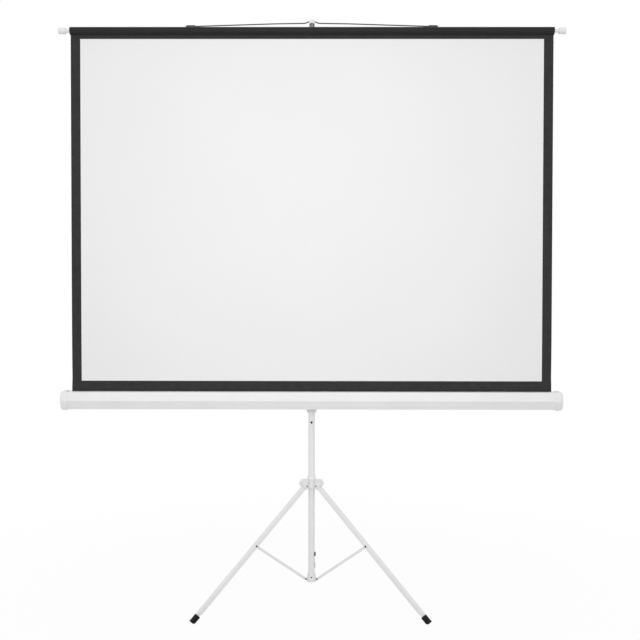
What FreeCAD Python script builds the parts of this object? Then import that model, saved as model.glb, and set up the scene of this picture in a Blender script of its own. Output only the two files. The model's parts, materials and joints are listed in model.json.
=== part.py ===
import FreeCAD, Part
import os
import re
import Sketcher

# A tripod projection screen, in millimetres and degrees.
# The pole is modelled on the Z axis, with the floor at zero height and the front at -Y.
# The finished pieces are then moved back, so that the origin is under the middle of the whole.

SIZES = {
    # Clearances and cuts
    "cut_overrun": 5.0,
    "fit_gap": 0.05,
    "running_gap": 0.3,
    # Tripod tube, its base and its top collar
    "tripod_tube_radius": 14.3,
    "tripod_tube_wall": 1.2,
    "tripod_tube_bottom": 98.0,
    "base_floor": 2.0,
    "base_height": 38.0,
    "base_foot_radius": 21.5,
    "base_neck_radius": 17.0,
    "base_rim": 6.0,
    "base_lug_radius": 4.0,
    "base_lug_width": 5.0,
    "base_lug_bore": 2.3,
    "base_screw_height": 117.0,
    "base_screw_radius": 3.2,
    "base_screw_stand": 1.6,
    "base_screw_sink": 2.2,
    "top_collar_radius": 21.75,
    "top_collar_drop": 35.0,
    "top_collar_height": 28.0,
    "top_collar_seat": 12.0,
    "top_collar_chamfer": 3.0,
    "bumper_height": 218.0,
    "bumper_radius": 9.0,
    "bumper_stand": 4.6,
    "bumper_edge": 1.2,
    # Height button
    "button_drop": 43.0,
    "button_radius": 4.5,
    "button_stand": 3.0,
    "button_travel": 1.5,
    "button_stem_radius": 3.0,
    # Mast that slides in the tripod tube
    "mast_radius": 12.5,
    "mast_wall": 1.2,
    "mast_bottom": 130.0,
    "mast_stand": 22.0,
    "mast_hole_pitch": 75.0,
    "mast_hole_count": 7.0,
    "mast_collar_radius": 17.0,
    "mast_collar_height": 20.0,
    "collar_lid": 2.0,
    "collar_chamfer": 1.5,
    # Lower and upper extension tubes
    "lower_tube_radius": 11.0,
    "lower_tube_wall": 1.1,
    "lower_tube_lap": 55.0,
    "lower_tube_top": 1752.0,
    "lower_collar_radius": 14.5,
    "lower_collar_height": 20.0,
    "upper_tube_radius": 9.5,
    "upper_tube_wall": 1.1,
    "upper_tube_lap": 74.0,
    # Lock knobs behind the two collars
    "knob_radius": 9.0,
    "knob_length": 13.0,
    "knob_edge": 1.5,
    "knob_gap": 1.0,
    "knob_stem_radius": 3.0,
    "knob_boss_radius": 6.0,
    "knob_boss_stand": 4.0,
    "knob_groove_radius": 1.2,
    "knob_groove_count": 10.0,
    # Hook cap on top of the pole
    "hook_stand": 33.0,
    "hook_height": 26.0,
    "hook_width": 24.0,
    "hook_front": 36.0,
    "hook_rear": 12.0,
    "hook_socket": 12.0,
    "hook_chin": 8.0,
    "hook_edge": 2.0,
    # Case: a six-sided shell, its caps and its saddle
    "case_axis_offset": 78.0,
    "case_axis_height": 912.0,
    "case_length": 2133.0,
    "case_height": 75.0,
    "case_depth": 88.0,
    "case_flat": 52.0,
    "case_wall": 1.0,
    "case_slot_front": 14.5,
    "case_slot_rear": 23.5,
    "case_cap_rim": 3.5,
    "case_cap_lap": 6.0,
    "case_cap_length": 31.0,
    "case_cap_round": 12.0,
    "saddle_length": 120.0,
    "saddle_reach": 5.0,
    "saddle_half_height": 24.0,
    "saddle_half_flat": 16.0,
    "pivot_radius": 4.0,
    "pivot_sink": 4.5,
    "clamp_drop": 27.0,
    "clamp_rise": 16.0,
    "clamp_width": 36.0,
    "clamp_half_depth": 22.0,
    "clamp_boss_radius": 14.0,
    "clamp_edge": 3.0,
    "clamp_hole_floor": 1.5,
    # Roller in the case
    "roller_radius": 17.0,
    "roller_wall": 1.0,
    "roller_end_room": 15.0,
    "roller_plug_length": 20.0,
    "gudgeon_radius": 4.0,
    "gudgeon_reach": 26.0,
    "roller_spring_length": 600.0,
    "roller_spring_wall": 1.5,
    "wrap_thickness": 1.65,
    # Fabric and its top batten
    "fabric_end_room": 2.0,
    "fabric_thickness": 0.5,
    "batten_radius": 15.0,
    "batten_wall": 1.2,
    "batten_stand": 2.5,
    "batten_height": 2519.0,
    "hem_thickness": 1.45,
    "end_knob_radius": 14.0,
    "end_knob_length": 33.0,
    "end_knob_edge": 3.0,
    "end_neck_radius": 8.0,
    "end_neck_length": 18.0,
    "end_plug_length": 20.0,
    # Bail on the batten
    "bail_wire_radius": 2.5,
    "bail_half_span": 504.5,
    "bail_end_length": 43.0,
    "bail_bend_half": 29.0,
    "bail_bend_rise": 30.0,
    "bail_peak_half": 13.0,
    "bail_rise": 29.5,
    "bail_reach": 35.0,
    "eye_width": 36.0,
    "eye_start": 3.5,
    "eye_radius": 5.2,
    "keeper_width": 20.0,
    "keeper_height": 16.0,
    "keeper_wire": 4.0,
    "keeper_depth": 6.0,
    # Hub that the three legs hang from
    "hub_radius": 20.0,
    "hub_drop": 14.0,
    "hub_shoulder_rise": 30.0,
    "hub_rise": 43.0,
    "hub_neck_radius": 16.5,
    "hub_ear_inner": 5.5,
    "hub_ear_outer": 9.5,
    "hub_ear_radius": 7.2,
    "pivot_reach": 30.0,
    "sole_rise": 1.533,
    # Legs
    "leg_angle": 46.0,
    "leg_pin_radius": 3.0,
    "leg_pin_head_radius": 4.5,
    "leg_pin_head": 1.5,
    "leg_width": 20.0,
    "leg_depth": 18.0,
    "leg_wall": 1.5,
    "leg_back": 10.5,
    "leg_corner": 3.0,
    "leg_start": 9.5,
    "leg_channel_stop": 51.0,
    "leg_length": 755.0,
    "leg_cap_half_width": 14.0,
    "leg_cap_end": 13.5,
    "leg_cap_hump": 20.0,
    "leg_cap_belly": 10.5,
    "leg_cap_top": 29.0,
    "leg_cap_inner": 6.0,
    "leg_cap_crown": 14.0,
    "leg_cap_brow_reach": 24.0,
    "leg_cap_brow_height": 19.0,
    "leg_cap_relief": 9.0,
    "leg_cap_corner": 2.5,
    "leg_lug_half_width": 5.2,
    "leg_lug_radius": 6.5,
    "leg_lug_rise": 12.0,
    "foot_width": 22.0,
    "foot_length": 38.0,
    "foot_round": 3.0,
    "foot_plug_width": 16.6,
    "foot_plug_bottom": 5.0,
    "foot_plug_length": 80.0,
    "foot_plug_sink": 22.0,
    # Braces
    "brace_pin_distance": 342.6,
    "brace_pin_radius": 2.5,
    "brace_pin_head_radius": 4.0,
    "brace_pin_head": 1.2,
    "brace_width": 10.0,
    "brace_height": 11.0,
    "brace_wall": 1.2,
    "brace_end": 6.0,
    "brace_foot_reach": 31.0,
    "brace_foot_height": 111.0,
    "brace_rivet_radius": 2.0,
    "brace_rivet_head_radius": 3.5,
    "brace_rivet_head": 1.5,
}

# Places and sizes that follow from the values above
DERIVED = {
    "pivot_height": "leg_length*cos(leg_angle) + sole_rise",
    "hub_bottom": "pivot_height - hub_drop",
    "hub_shoulder": "pivot_height + hub_shoulder_rise",
    "hub_top": "pivot_height + hub_rise",
    "leg_channel_end": "leg_length - leg_channel_stop",
    "rear_reach": "pivot_reach + leg_length*sin(leg_angle) + foot_width/2*cos(leg_angle)",
    "front_reach": "rear_reach*cos(60) + foot_width/2*sin(60)",
    "pole_shift": "(front_reach - rear_reach)/2",
    "clamp_bottom": "case_axis_height - clamp_drop",
    "clamp_top": "case_axis_height + clamp_rise",
    "mast_top": "clamp_top + mast_stand",
    "lower_tube_bottom": "mast_top - lower_tube_lap",
    "upper_tube_bottom": "lower_tube_top - upper_tube_lap",
    "hook_bottom": "batten_height + hook_stand",
    "hook_top": "hook_bottom + hook_height",
    "roller_length": "case_length - 2*roller_end_room",
    "fabric_width": "roller_length - 2*fabric_end_room",
    "batten_length": "fabric_width + 2*batten_stand",
    "top_collar_bottom": "clamp_bottom - top_collar_drop",
    "tripod_tube_top": "top_collar_bottom + top_collar_seat",
    "button_height": "top_collar_bottom - button_drop",
    "base_bottom": "tripod_tube_bottom - base_floor",
    "button_face": "tripod_tube_radius + button_stand",
    "button_shoulder": "mast_radius + running_gap*2 + button_travel",
    "lean": "case_height/sqrt(case_height*case_height + (case_depth - case_flat)*(case_depth - case_flat))",
    "case_y": "-case_axis_offset",
    "case_top": "case_axis_height + case_height/2",
    "case_rear": "case_y + case_depth/2",
    "saddle_rear": "case_rear + saddle_reach",
    "wrap_radius": "roller_radius + fit_gap + wrap_thickness",
    "fabric_y": "case_y + wrap_radius + running_gap + fabric_thickness/2",
    "hem_radius": "batten_radius + fit_gap + hem_thickness",
    "bail_axis_height": "batten_height + hem_radius + running_gap + bail_wire_radius",
    "bail_lever": "sqrt(bail_rise*bail_rise + bail_reach*bail_reach)",
    "wire_y": "fabric_y + bail_reach",
    "wire_height": "bail_axis_height + bail_rise",
    "lip_radius": "bail_lever - bail_wire_radius - running_gap",
    "lip_rear_y": "wire_y - bail_wire_radius - running_gap",
    "brace_pin_reach": "pivot_reach + brace_pin_distance*sin(leg_angle)",
    "brace_pin_height": "pivot_height - brace_pin_distance*cos(leg_angle)",
    "brace_run": "brace_pin_reach - brace_foot_reach",
    "brace_drop": "brace_pin_height - brace_foot_height",
    "brace_length": "sqrt(brace_run*brace_run + brace_drop*brace_drop)",
}

LEG_AZIMUTHS = {"left": 210.0, "right": 330.0, "rear": 90.0}
LEG_SPACING = 120.0

vector = FreeCAD.Vector
ACROSS = vector(0, 1, 0)
UP = vector(0, 0, 1)
TURNS = {
    "X": FreeCAD.Rotation(ACROSS, 90),
    "Y": FreeCAD.Rotation(vector(1, 0, 0), -90),
    "Z": FreeCAD.Rotation(),
}
CROSS_AXES = {"X": "yzx", "Y": "xzy", "Z": "xyz"}

document = FreeCAD.newDocument("projection_screen")
sheet = document.addObject("Spreadsheet::Sheet", "dims")
for row, (size_name, size_value) in enumerate(SIZES.items(), 1):
    sheet.set(f"A{row}", size_name)
    sheet.set(f"B{row}", str(size_value))
    sheet.setAlias(f"B{row}", size_name)
document.recompute()
nodes = []


def ref(text):
    """Write an expression of size names as one that reads the sheet."""
    def swap(match):
        word = match.group()
        if word in DERIVED:
            return "(" + ref(DERIVED[word]) + ")"
        return "dims." + word if word in SIZES else word
    return re.sub(r"[a-z][a-z_0-9]*", swap, text)


def value(text):
    """Work out an expression of size names."""
    return float(sheet.evalExpression(ref(text)))


def bind(item, **sizes):
    """Bind properties of an object to expressions of size names."""
    for name, text in sizes.items():
        item.setExpression(name.replace("__", "."), ref(text))
    return item


def cylinder(radius, start, end, axis="Z", at=("0", "0")):
    """A cylinder along an axis from start to end, with its centre line at the two cross places."""
    item = document.addObject("Part::Cylinder", "round_bar")
    item.Placement = FreeCAD.Placement(vector(), TURNS[axis])
    bind(item, Radius=radius, Height=f"({end}) - ({start})")
    for letter, place in zip(CROSS_AXES[axis], (*at, start)):
        item.setExpression("Placement.Base." + letter, ref(place))
    return item


def box(x_span, y_span, z_span):
    """A box between the low and high place on each axis."""
    item = document.addObject("Part::Box", "block")
    for side, letter, (low, high) in zip(("Length", "Width", "Height"), "xyz", (x_span, y_span, z_span)):
        item.setExpression(side, ref(f"({high}) - ({low})"))
        item.setExpression("Placement.Base." + letter, ref(low))
    return item


def fuse(*pieces):
    """Join pieces into one solid."""
    item = document.addObject("Part::MultiFuse", "joined")
    item.Shapes = list(pieces)
    item.Refine = True
    return item


def cut(base, *tools):
    """Cut one or more tools out of a base."""
    item = document.addObject("Part::Cut", "cut_out")
    item.Base = base
    item.Tool = tools[0] if len(tools) == 1 else fuse(*tools)
    return item


def group(*pieces):
    """Hold like solids together as one piece of the model."""
    item = document.addObject("Part::Compound", "group")
    item.Links = list(pieces)
    return item


def rounded(base, radius, picks):
    """Round the edges of a base whose middle point the picks function accepts."""
    document.recompute()
    item = document.addObject("Part::Fillet", "rounded")
    item.Base = base
    amount = value(radius)
    edges = enumerate(base.Shape.Edges, 1)
    item.Edges = [(index, amount, amount) for index, edge in edges if picks(edge)]
    return item


def sketch_on(body, plane_role, points, offset=None):
    """A closed sketch through points, each held by two distances from the plane's own origin."""
    sketch = body.newObject("Sketcher::SketchObject", "outline")
    planes = [item for item in body.Origin.OriginFeatures if item.Role == plane_role]
    sketch.AttachmentSupport = [(planes[0], "")]
    sketch.MapMode = "FlatFace"
    if offset:
        sketch.setExpression("AttachmentOffset.Base.z", ref(offset))
    corners = [vector(value(across), value(up), 0) for across, up in points]
    count = len(corners)
    for index in range(count):
        sketch.addGeometry(Part.LineSegment(corners[index], corners[(index + 1) % count]))
    for index in range(count):
        sketch.addConstraint(Sketcher.Constraint("Coincident", index, 2, (index + 1) % count, 1))
    for index, (across, up) in enumerate(points):
        for kind, text in (("DistanceX", across), ("DistanceY", up)):
            held = sketch.addConstraint(Sketcher.Constraint(kind, -1, 1, index, 1, value(text)))
            sketch.setExpression(f"Constraints[{held}]", ref(text))
    return sketch


def pad(plane_role, points, length, offset=None):
    """Pad an outline: to both sides of its plane, or onward from an offset."""
    body = document.addObject("PartDesign::Body", "padded")
    feature = body.newObject("PartDesign::Pad", "pad")
    feature.Profile = sketch_on(body, plane_role, points, offset)
    feature.Midplane = offset is None
    bind(feature, Length=length)
    body.Tip = feature
    return body


def revolve(points):
    """Turn an outline of radius and height about the Z axis."""
    body = document.addObject("PartDesign::Body", "turned")
    sketch = sketch_on(body, "XZ_Plane", points)
    feature = body.newObject("PartDesign::Revolution", "revolution")
    feature.Profile = sketch
    feature.ReferenceAxis = (sketch, ["V_Axis"])
    feature.Angle = 360
    body.Tip = feature
    return body


def publish(name, item, placement=None):
    """Name a finished piece and stand it in the frame, behind the pole's own axis."""
    if placement:
        item.Placement = placement
    item.setExpression("Placement.Base.y", f"{item.Placement.Base.y!r} + " + ref("pole_shift"))
    item.Label = name
    nodes.append(item)


def around(azimuth):
    """The turn about the pole that brings the +X side to an azimuth."""
    return FreeCAD.Placement(vector(), FreeCAD.Rotation(UP, azimuth))


def tube(radius, wall, bottom, top):
    """A round tube on the pole's axis."""
    outside = cylinder(radius, bottom, top)
    inside = cylinder(f"{radius} - {wall}", f"{bottom} - cut_overrun", f"{top} + cut_overrun")
    return outside, inside


def hexagon(inset):
    """The case's six-sided outline, drawn in by an inset, about the case's own axis."""
    side = f"(case_depth/2 - ({inset})/lean)"
    half = f"(case_height/2 - ({inset}))"
    flat = f"(case_flat/2 - ({inset})/lean + (case_depth - case_flat)/case_height*({inset}))"
    corners = (("-", side, None), ("-", flat, ""), ("", flat, ""), ("", side, None), ("", flat, "-"), ("-", flat, "-"))
    return [
        (f"case_y + {across}{reach}".replace("+ -", "- "), "case_axis_height" if up is None
         else f"case_axis_height + {up}{half}".replace("+ -", "- "))
        for across, reach, up in corners
    ]


def build_tripod_tube():
    """Fixed centre tube with its base casting, screws, top collar and bumper."""
    outside, inside = tube("tripod_tube_radius", "tripod_tube_wall", "tripod_tube_bottom", "tripod_tube_top")
    button_hole = cylinder("button_radius + running_gap", "-tripod_tube_radius - cut_overrun", "0", "Y",
                           ("0", "button_height"))
    publish("tripod_tube", cut(outside, inside, button_hole))

    bell = revolve([
        ("0", "base_bottom"),
        ("base_foot_radius - base_floor", "base_bottom"),
        ("base_foot_radius", "base_bottom + base_floor"),
        ("base_foot_radius", "base_bottom + base_rim"),
        ("base_neck_radius", "base_bottom + base_height"),
        ("tripod_tube_radius + fit_gap", "base_bottom + base_height"),
        ("tripod_tube_radius + fit_gap", "tripod_tube_bottom"),
        ("0", "tripod_tube_bottom"),
    ])
    lugs = []
    for azimuth in LEG_AZIMUTHS.values():
        eye = cylinder("base_lug_radius", "-base_lug_width/2", "base_lug_width/2", "Y",
                       ("brace_foot_reach", "brace_foot_height"))
        arm = box(("base_neck_radius", "brace_foot_reach"), ("-base_lug_width/2", "base_lug_width/2"),
                  ("brace_foot_height - base_lug_radius", "brace_foot_height + base_lug_radius"))
        hole = cylinder("base_lug_bore", "-base_lug_width", "base_lug_width", "Y",
                        ("brace_foot_reach", "brace_foot_height"))
        lug = cut(fuse(eye, arm), hole)
        lug.Placement = around(azimuth)
        lugs.append(lug)
    screw_holes = []
    screws = []
    for azimuth in LEG_AZIMUTHS.values():
        hole = cylinder("base_screw_radius/2 + fit_gap", "base_neck_radius - base_screw_sink",
                        "base_foot_radius + cut_overrun", "X", ("0", "base_screw_height"))
        seat = cylinder("base_screw_radius + fit_gap", "base_neck_radius + fit_gap",
                        "base_foot_radius + cut_overrun", "X", ("0", "base_screw_height"))
        shank = cylinder("base_screw_radius/2", "base_neck_radius - base_screw_sink + fit_gap",
                         "base_neck_radius + fit_gap*2", "X", ("0", "base_screw_height"))
        head = cylinder("base_screw_radius", "base_neck_radius + fit_gap*2",
                        "base_neck_radius + fit_gap*2 + base_screw_stand*2", "X", ("0", "base_screw_height"))
        opposite = around(azimuth + LEG_SPACING / 2)
        hollow = fuse(hole, seat)
        hollow.Placement = opposite
        screw = fuse(shank, head)
        screw.Placement = opposite
        screw_holes.append(hollow)
        screws.append(screw)
    publish("base_casting", cut(fuse(bell, *lugs), *screw_holes))
    publish("base_screws", group(*screws))

    publish("tube_top_collar", revolve([
        ("tripod_tube_radius + fit_gap", "top_collar_bottom"),
        ("top_collar_radius - top_collar_chamfer", "top_collar_bottom"),
        ("top_collar_radius", "top_collar_bottom + top_collar_chamfer"),
        ("top_collar_radius", "top_collar_bottom + top_collar_height - collar_chamfer"),
        ("top_collar_radius - collar_chamfer", "top_collar_bottom + top_collar_height"),
        ("mast_radius + running_gap", "top_collar_bottom + top_collar_height"),
        ("mast_radius + running_gap", "tripod_tube_top"),
        ("tripod_tube_radius + fit_gap", "tripod_tube_top"),
    ]))

    disc = cylinder("bumper_radius", "0", "tripod_tube_radius + bumper_stand", "X", ("0", "bumper_height"))
    disc = rounded(disc, "bumper_edge",
                   lambda edge: edge.CenterOfMass.x > value("tripod_tube_radius + bumper_stand/2"))
    seat = cylinder("tripod_tube_radius", "bumper_height - bumper_radius*2", "bumper_height + bumper_radius*2")
    publish("pole_bumper", cut(disc, seat))


def build_height_button():
    """Round push button whose stem points at the row of holes in the mast."""
    head = cylinder("button_radius", "-button_face", "-button_shoulder", "Y", ("0", "button_height"))
    stem = cylinder("button_stem_radius", "-button_face", "-mast_radius - running_gap", "Y",
                    ("0", "button_height"))
    publish("height_button", fuse(head, stem))


def build_knob(name, height, stem_end, collar_radius):
    """Grooved lock knob on a stem that points at the tube inside a collar."""
    boss_end = f"{collar_radius} + knob_boss_stand"
    stem = cylinder("knob_stem_radius", stem_end, f"{boss_end} + knob_gap + knob_edge", "Y", ("0", height))
    start = f"{boss_end} + knob_gap"
    head = cylinder("knob_radius", start, f"{start} + knob_length", "Y", ("0", height))
    head = rounded(head, "knob_edge", lambda edge: edge.Closed)
    count = round(value("knob_groove_count"))
    grooves = []
    for index in range(count):
        angle = f"{index}/{count}*360"
        grooves.append(cylinder("knob_groove_radius", f"{start} - cut_overrun",
                                f"{start} + knob_length + cut_overrun", "Y",
                                (f"knob_radius*cos({angle})", f"{height} + knob_radius*sin({angle})")))
    publish(name, fuse(stem, cut(head, *grooves)))


def build_collar(name, radius, outer, height, top, lid_bore, knob_height):
    """Collar on the top of a tube, with a lid that guides the next tube and a boss for the knob."""
    bottom = f"{top} - {height}"
    ring = revolve([
        (f"{outer} + fit_gap", bottom),
        (f"{radius} - collar_chamfer", bottom),
        (radius, f"{bottom} + collar_chamfer"),
        (radius, f"{top} + collar_lid - collar_chamfer"),
        (f"{radius} - collar_chamfer", f"{top} + collar_lid"),
        (f"{lid_bore} + running_gap", f"{top} + collar_lid"),
        (f"{lid_bore} + running_gap", top),
        (f"{outer} + fit_gap", top),
    ])
    boss = cylinder("knob_boss_radius", f"{outer} + fit_gap*2", f"{radius} + knob_boss_stand", "Y",
                    ("0", knob_height))
    core = cylinder(f"{outer} + fit_gap", f"{bottom} - cut_overrun", top)
    bore = cylinder("knob_stem_radius + fit_gap", "0", f"{radius} + knob_boss_stand + cut_overrun", "Y",
                    ("0", knob_height))
    publish(name, cut(fuse(ring, boss), core, bore))


def build_mast():
    """Mast with its row of height holes, its collar and the block that carries the case."""
    knob_height = "mast_top - mast_collar_height/2"
    outside, inside = tube("mast_radius", "mast_wall", "mast_bottom", "mast_top")
    holes = [cylinder("button_stem_radius + running_gap", "-mast_radius - cut_overrun", "0", "Y",
                      ("0", f"button_height - {step}*mast_hole_pitch"))
             for step in range(round(value("mast_hole_count")))]
    knob_hole = cylinder("knob_stem_radius + fit_gap", "0", "mast_radius + cut_overrun", "Y",
                         ("0", knob_height))
    publish("mast_tube", cut(outside, inside, knob_hole, *holes))
    build_collar("mast_collar", "mast_collar_radius", "mast_radius", "mast_collar_height", "mast_top",
                 "lower_tube_radius", knob_height)
    build_knob("mast_lock_knob", knob_height, "lower_tube_radius + running_gap", "mast_collar_radius")

    block = box(("-clamp_width/2", "clamp_width/2"), ("-clamp_half_depth", "clamp_half_depth"),
                ("clamp_bottom", "clamp_top"))
    block = rounded(block, "clamp_edge", lambda edge: abs(edge.tangentAt(edge.FirstParameter).z) > 0.5)
    boss = cylinder("clamp_boss_radius", "saddle_rear + running_gap", "clamp_edge - clamp_half_depth", "Y",
                    ("0", "case_axis_height"))
    mast_bore = cylinder("mast_radius + fit_gap", "clamp_bottom - cut_overrun", "clamp_top + cut_overrun")
    pivot_bore = cylinder("pivot_radius + fit_gap", "saddle_rear - cut_overrun",
                          "-mast_radius - clamp_hole_floor", "Y", ("0", "case_axis_height"))
    publish("case_clamp_block", cut(fuse(block, boss), mast_bore, pivot_bore))


def build_extensions():
    """Two telescoping tubes above the mast, and the collar and knob between them."""
    knob_height = "lower_tube_top - lower_collar_height/2"
    outside, inside = tube("lower_tube_radius", "lower_tube_wall", "lower_tube_bottom", "lower_tube_top")
    knob_hole = cylinder("knob_stem_radius + fit_gap", "0", "lower_tube_radius + cut_overrun", "Y",
                         ("0", knob_height))
    publish("lower_extension_tube", cut(outside, inside, knob_hole))
    build_collar("lower_extension_collar", "lower_collar_radius", "lower_tube_radius",
                 "lower_collar_height", "lower_tube_top", "upper_tube_radius", knob_height)
    build_knob("extension_lock_knob", knob_height, "upper_tube_radius + running_gap",
               "lower_collar_radius")
    outside, inside = tube("upper_tube_radius", "upper_tube_wall", "upper_tube_bottom",
                           "hook_bottom + hook_socket")
    publish("upper_extension_tube", cut(outside, inside))


def build_hook():
    """Moulded cap whose front lip holds the bail; the lip's back follows the bail's own swing."""
    body = pad("YZ_Plane", [
        ("-hook_front", "hook_bottom + hook_chin"),
        ("-hook_front + hook_chin", "hook_bottom"),
        ("hook_rear", "hook_bottom"),
        ("hook_rear", "hook_top"),
        ("wire_y + bail_wire_radius + running_gap*2", "hook_top"),
        ("wire_y + bail_wire_radius + running_gap*2", "wire_height - bail_wire_radius - running_gap"),
        ("lip_rear_y", "wire_height - bail_wire_radius - running_gap"),
        ("lip_rear_y", "hook_top"),
        ("-hook_front", "hook_top"),
    ], "hook_width")
    above = box(("-hook_width", "hook_width"),
                ("-hook_front - cut_overrun", "wire_y"),
                ("bail_axis_height", "hook_top + cut_overrun"))
    under = cylinder("lip_radius", "-hook_width*2", "hook_width*2", "X", ("fabric_y", "bail_axis_height"))
    socket = cylinder("upper_tube_radius + fit_gap", "hook_bottom - cut_overrun", "hook_bottom + hook_socket")
    swept = cut(above, under)
    cap = cut(body, swept, socket)
    cap = rounded(cap, "hook_edge", lambda edge: abs(edge.tangentAt(edge.FirstParameter).z) > 0.99
                  and edge.CenterOfMass.y > value("hook_rear/2"))
    publish("hook_cap", cap)


def build_batten():
    """Tube in a fabric hem across the top of the screen, with its end knobs, bail eyes and keeper."""
    half = "batten_length/2"
    centre = ("fabric_y", "batten_height")
    rod = cylinder("batten_radius", f"-{half}", half, "X", centre)
    hollow = cylinder("batten_radius - batten_wall", f"-{half} - cut_overrun", f"{half} + cut_overrun", "X",
                      centre)
    publish("batten_tube", cut(rod, hollow))
    sleeve = cylinder("hem_radius", f"-{half}", half, "X", centre)
    core = cylinder("batten_radius + fit_gap", f"-{half} - cut_overrun", f"{half} + cut_overrun", "X", centre)
    publish("batten_hem", cut(sleeve, core))

    plug_radius = "batten_radius - batten_wall - fit_gap"
    head_end = "end_neck_length + end_knob_length"
    for side, turn in (("left", -90), ("right", 90)):
        knob = revolve([
            ("0", "-end_plug_length"),
            (plug_radius, "-end_plug_length"),
            (plug_radius, "0"),
            ("end_neck_radius", "0"),
            ("end_neck_radius", "end_neck_length"),
            ("end_knob_radius - end_knob_edge", "end_neck_length"),
            ("end_knob_radius", "end_neck_length + end_knob_edge"),
            ("end_knob_radius", f"{head_end} - end_knob_edge"),
            ("end_knob_radius - end_knob_edge", head_end),
            ("0", head_end),
        ])
        reach = value(half) if turn > 0 else -value(half)
        place = vector(reach, value("fabric_y"), value("batten_height"))
        publish(f"batten_end_knob_{side}", knob, FreeCAD.Placement(place, FreeCAD.Rotation(ACROSS, turn)))

    eyes = []
    for sign in ("-", ""):
        start = f"{sign}(bail_half_span + eye_start)"
        end = f"{sign}(bail_half_span + eye_start + eye_width)"
        low, high = (start, end) if sign == "" else (end, start)
        post = box((low, high), ("fabric_y - eye_radius", "fabric_y + eye_radius"),
                   ("batten_height + batten_radius", "bail_axis_height"))
        dome = cylinder("eye_radius", low, high, "X", ("fabric_y", "bail_axis_height"))
        seat = cylinder("hem_radius + fit_gap", f"{low} - cut_overrun", f"{high} + cut_overrun", "X", centre)
        hole = cylinder("bail_wire_radius + fit_gap", f"{low} - cut_overrun", f"{high} + cut_overrun", "X",
                        ("fabric_y", "bail_axis_height"))
        eyes.append(cut(fuse(post, dome), seat, hole))
    publish("bail_eyes", group(*eyes))

    foot = "batten_height + hem_radius - keeper_wire"
    crown = "batten_height + hem_radius + keeper_height"
    depth = ("fabric_y - keeper_depth/2", "fabric_y + keeper_depth/2")
    plate = box(("-keeper_width/2", "keeper_width/2"), depth, (foot, f"{crown} - keeper_width/2"))
    arch = cylinder("keeper_width/2", "fabric_y - keeper_depth/2", "fabric_y + keeper_depth/2", "Y",
                    ("0", f"{crown} - keeper_width/2"))
    inner = cylinder("keeper_width/2 - keeper_wire", "fabric_y - keeper_depth", "fabric_y + keeper_depth",
                     "Y", ("0", f"{crown} - keeper_width/2"))
    between = box(("-keeper_width/2 + keeper_wire", "keeper_width/2 - keeper_wire"),
                  ("fabric_y - keeper_depth", "fabric_y + keeper_depth"),
                  (f"{foot} - cut_overrun", f"{crown} - keeper_width/2"))
    seat = cylinder("hem_radius + fit_gap", "-keeper_width", "keeper_width", "X", centre)
    publish("bail_keeper", cut(fuse(plate, arch), inner, between, seat))


def build_bail():
    """Bent wire that hangs the batten on the hook, leaning back from its two eyes."""
    rise = "bail_rise/bail_lever"
    reach = "bail_reach/bail_lever"
    route = []
    for sign in (-1, 1):
        side = [("bail_half_span + bail_end_length", "0"), ("bail_half_span", "0"),
                ("bail_bend_half", "bail_bend_rise"), ("bail_peak_half", "bail_lever")]
        points = [(sign * value(across), value(up)) for across, up in side]
        route += points if sign < 0 else points[::-1]
    places = [vector(across, value("fabric_y") + up * value(reach), value("bail_axis_height") + up * value(rise))
              for across, up in route]
    radius = value("bail_wire_radius")
    wire = Part.makeCylinder(radius, (places[1] - places[0]).Length, places[0], places[1] - places[0])
    for start, end in zip(places[1:], places[2:]):
        run = end - start
        straight = Part.makeCylinder(radius, run.Length, start, run)
        wire = wire.fuse([Part.makeSphere(radius, start), straight])
    item = document.addObject("Part::Feature", "bail")
    item.Shape = wire.removeSplitter()
    publish("bail_wire", item)


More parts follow.
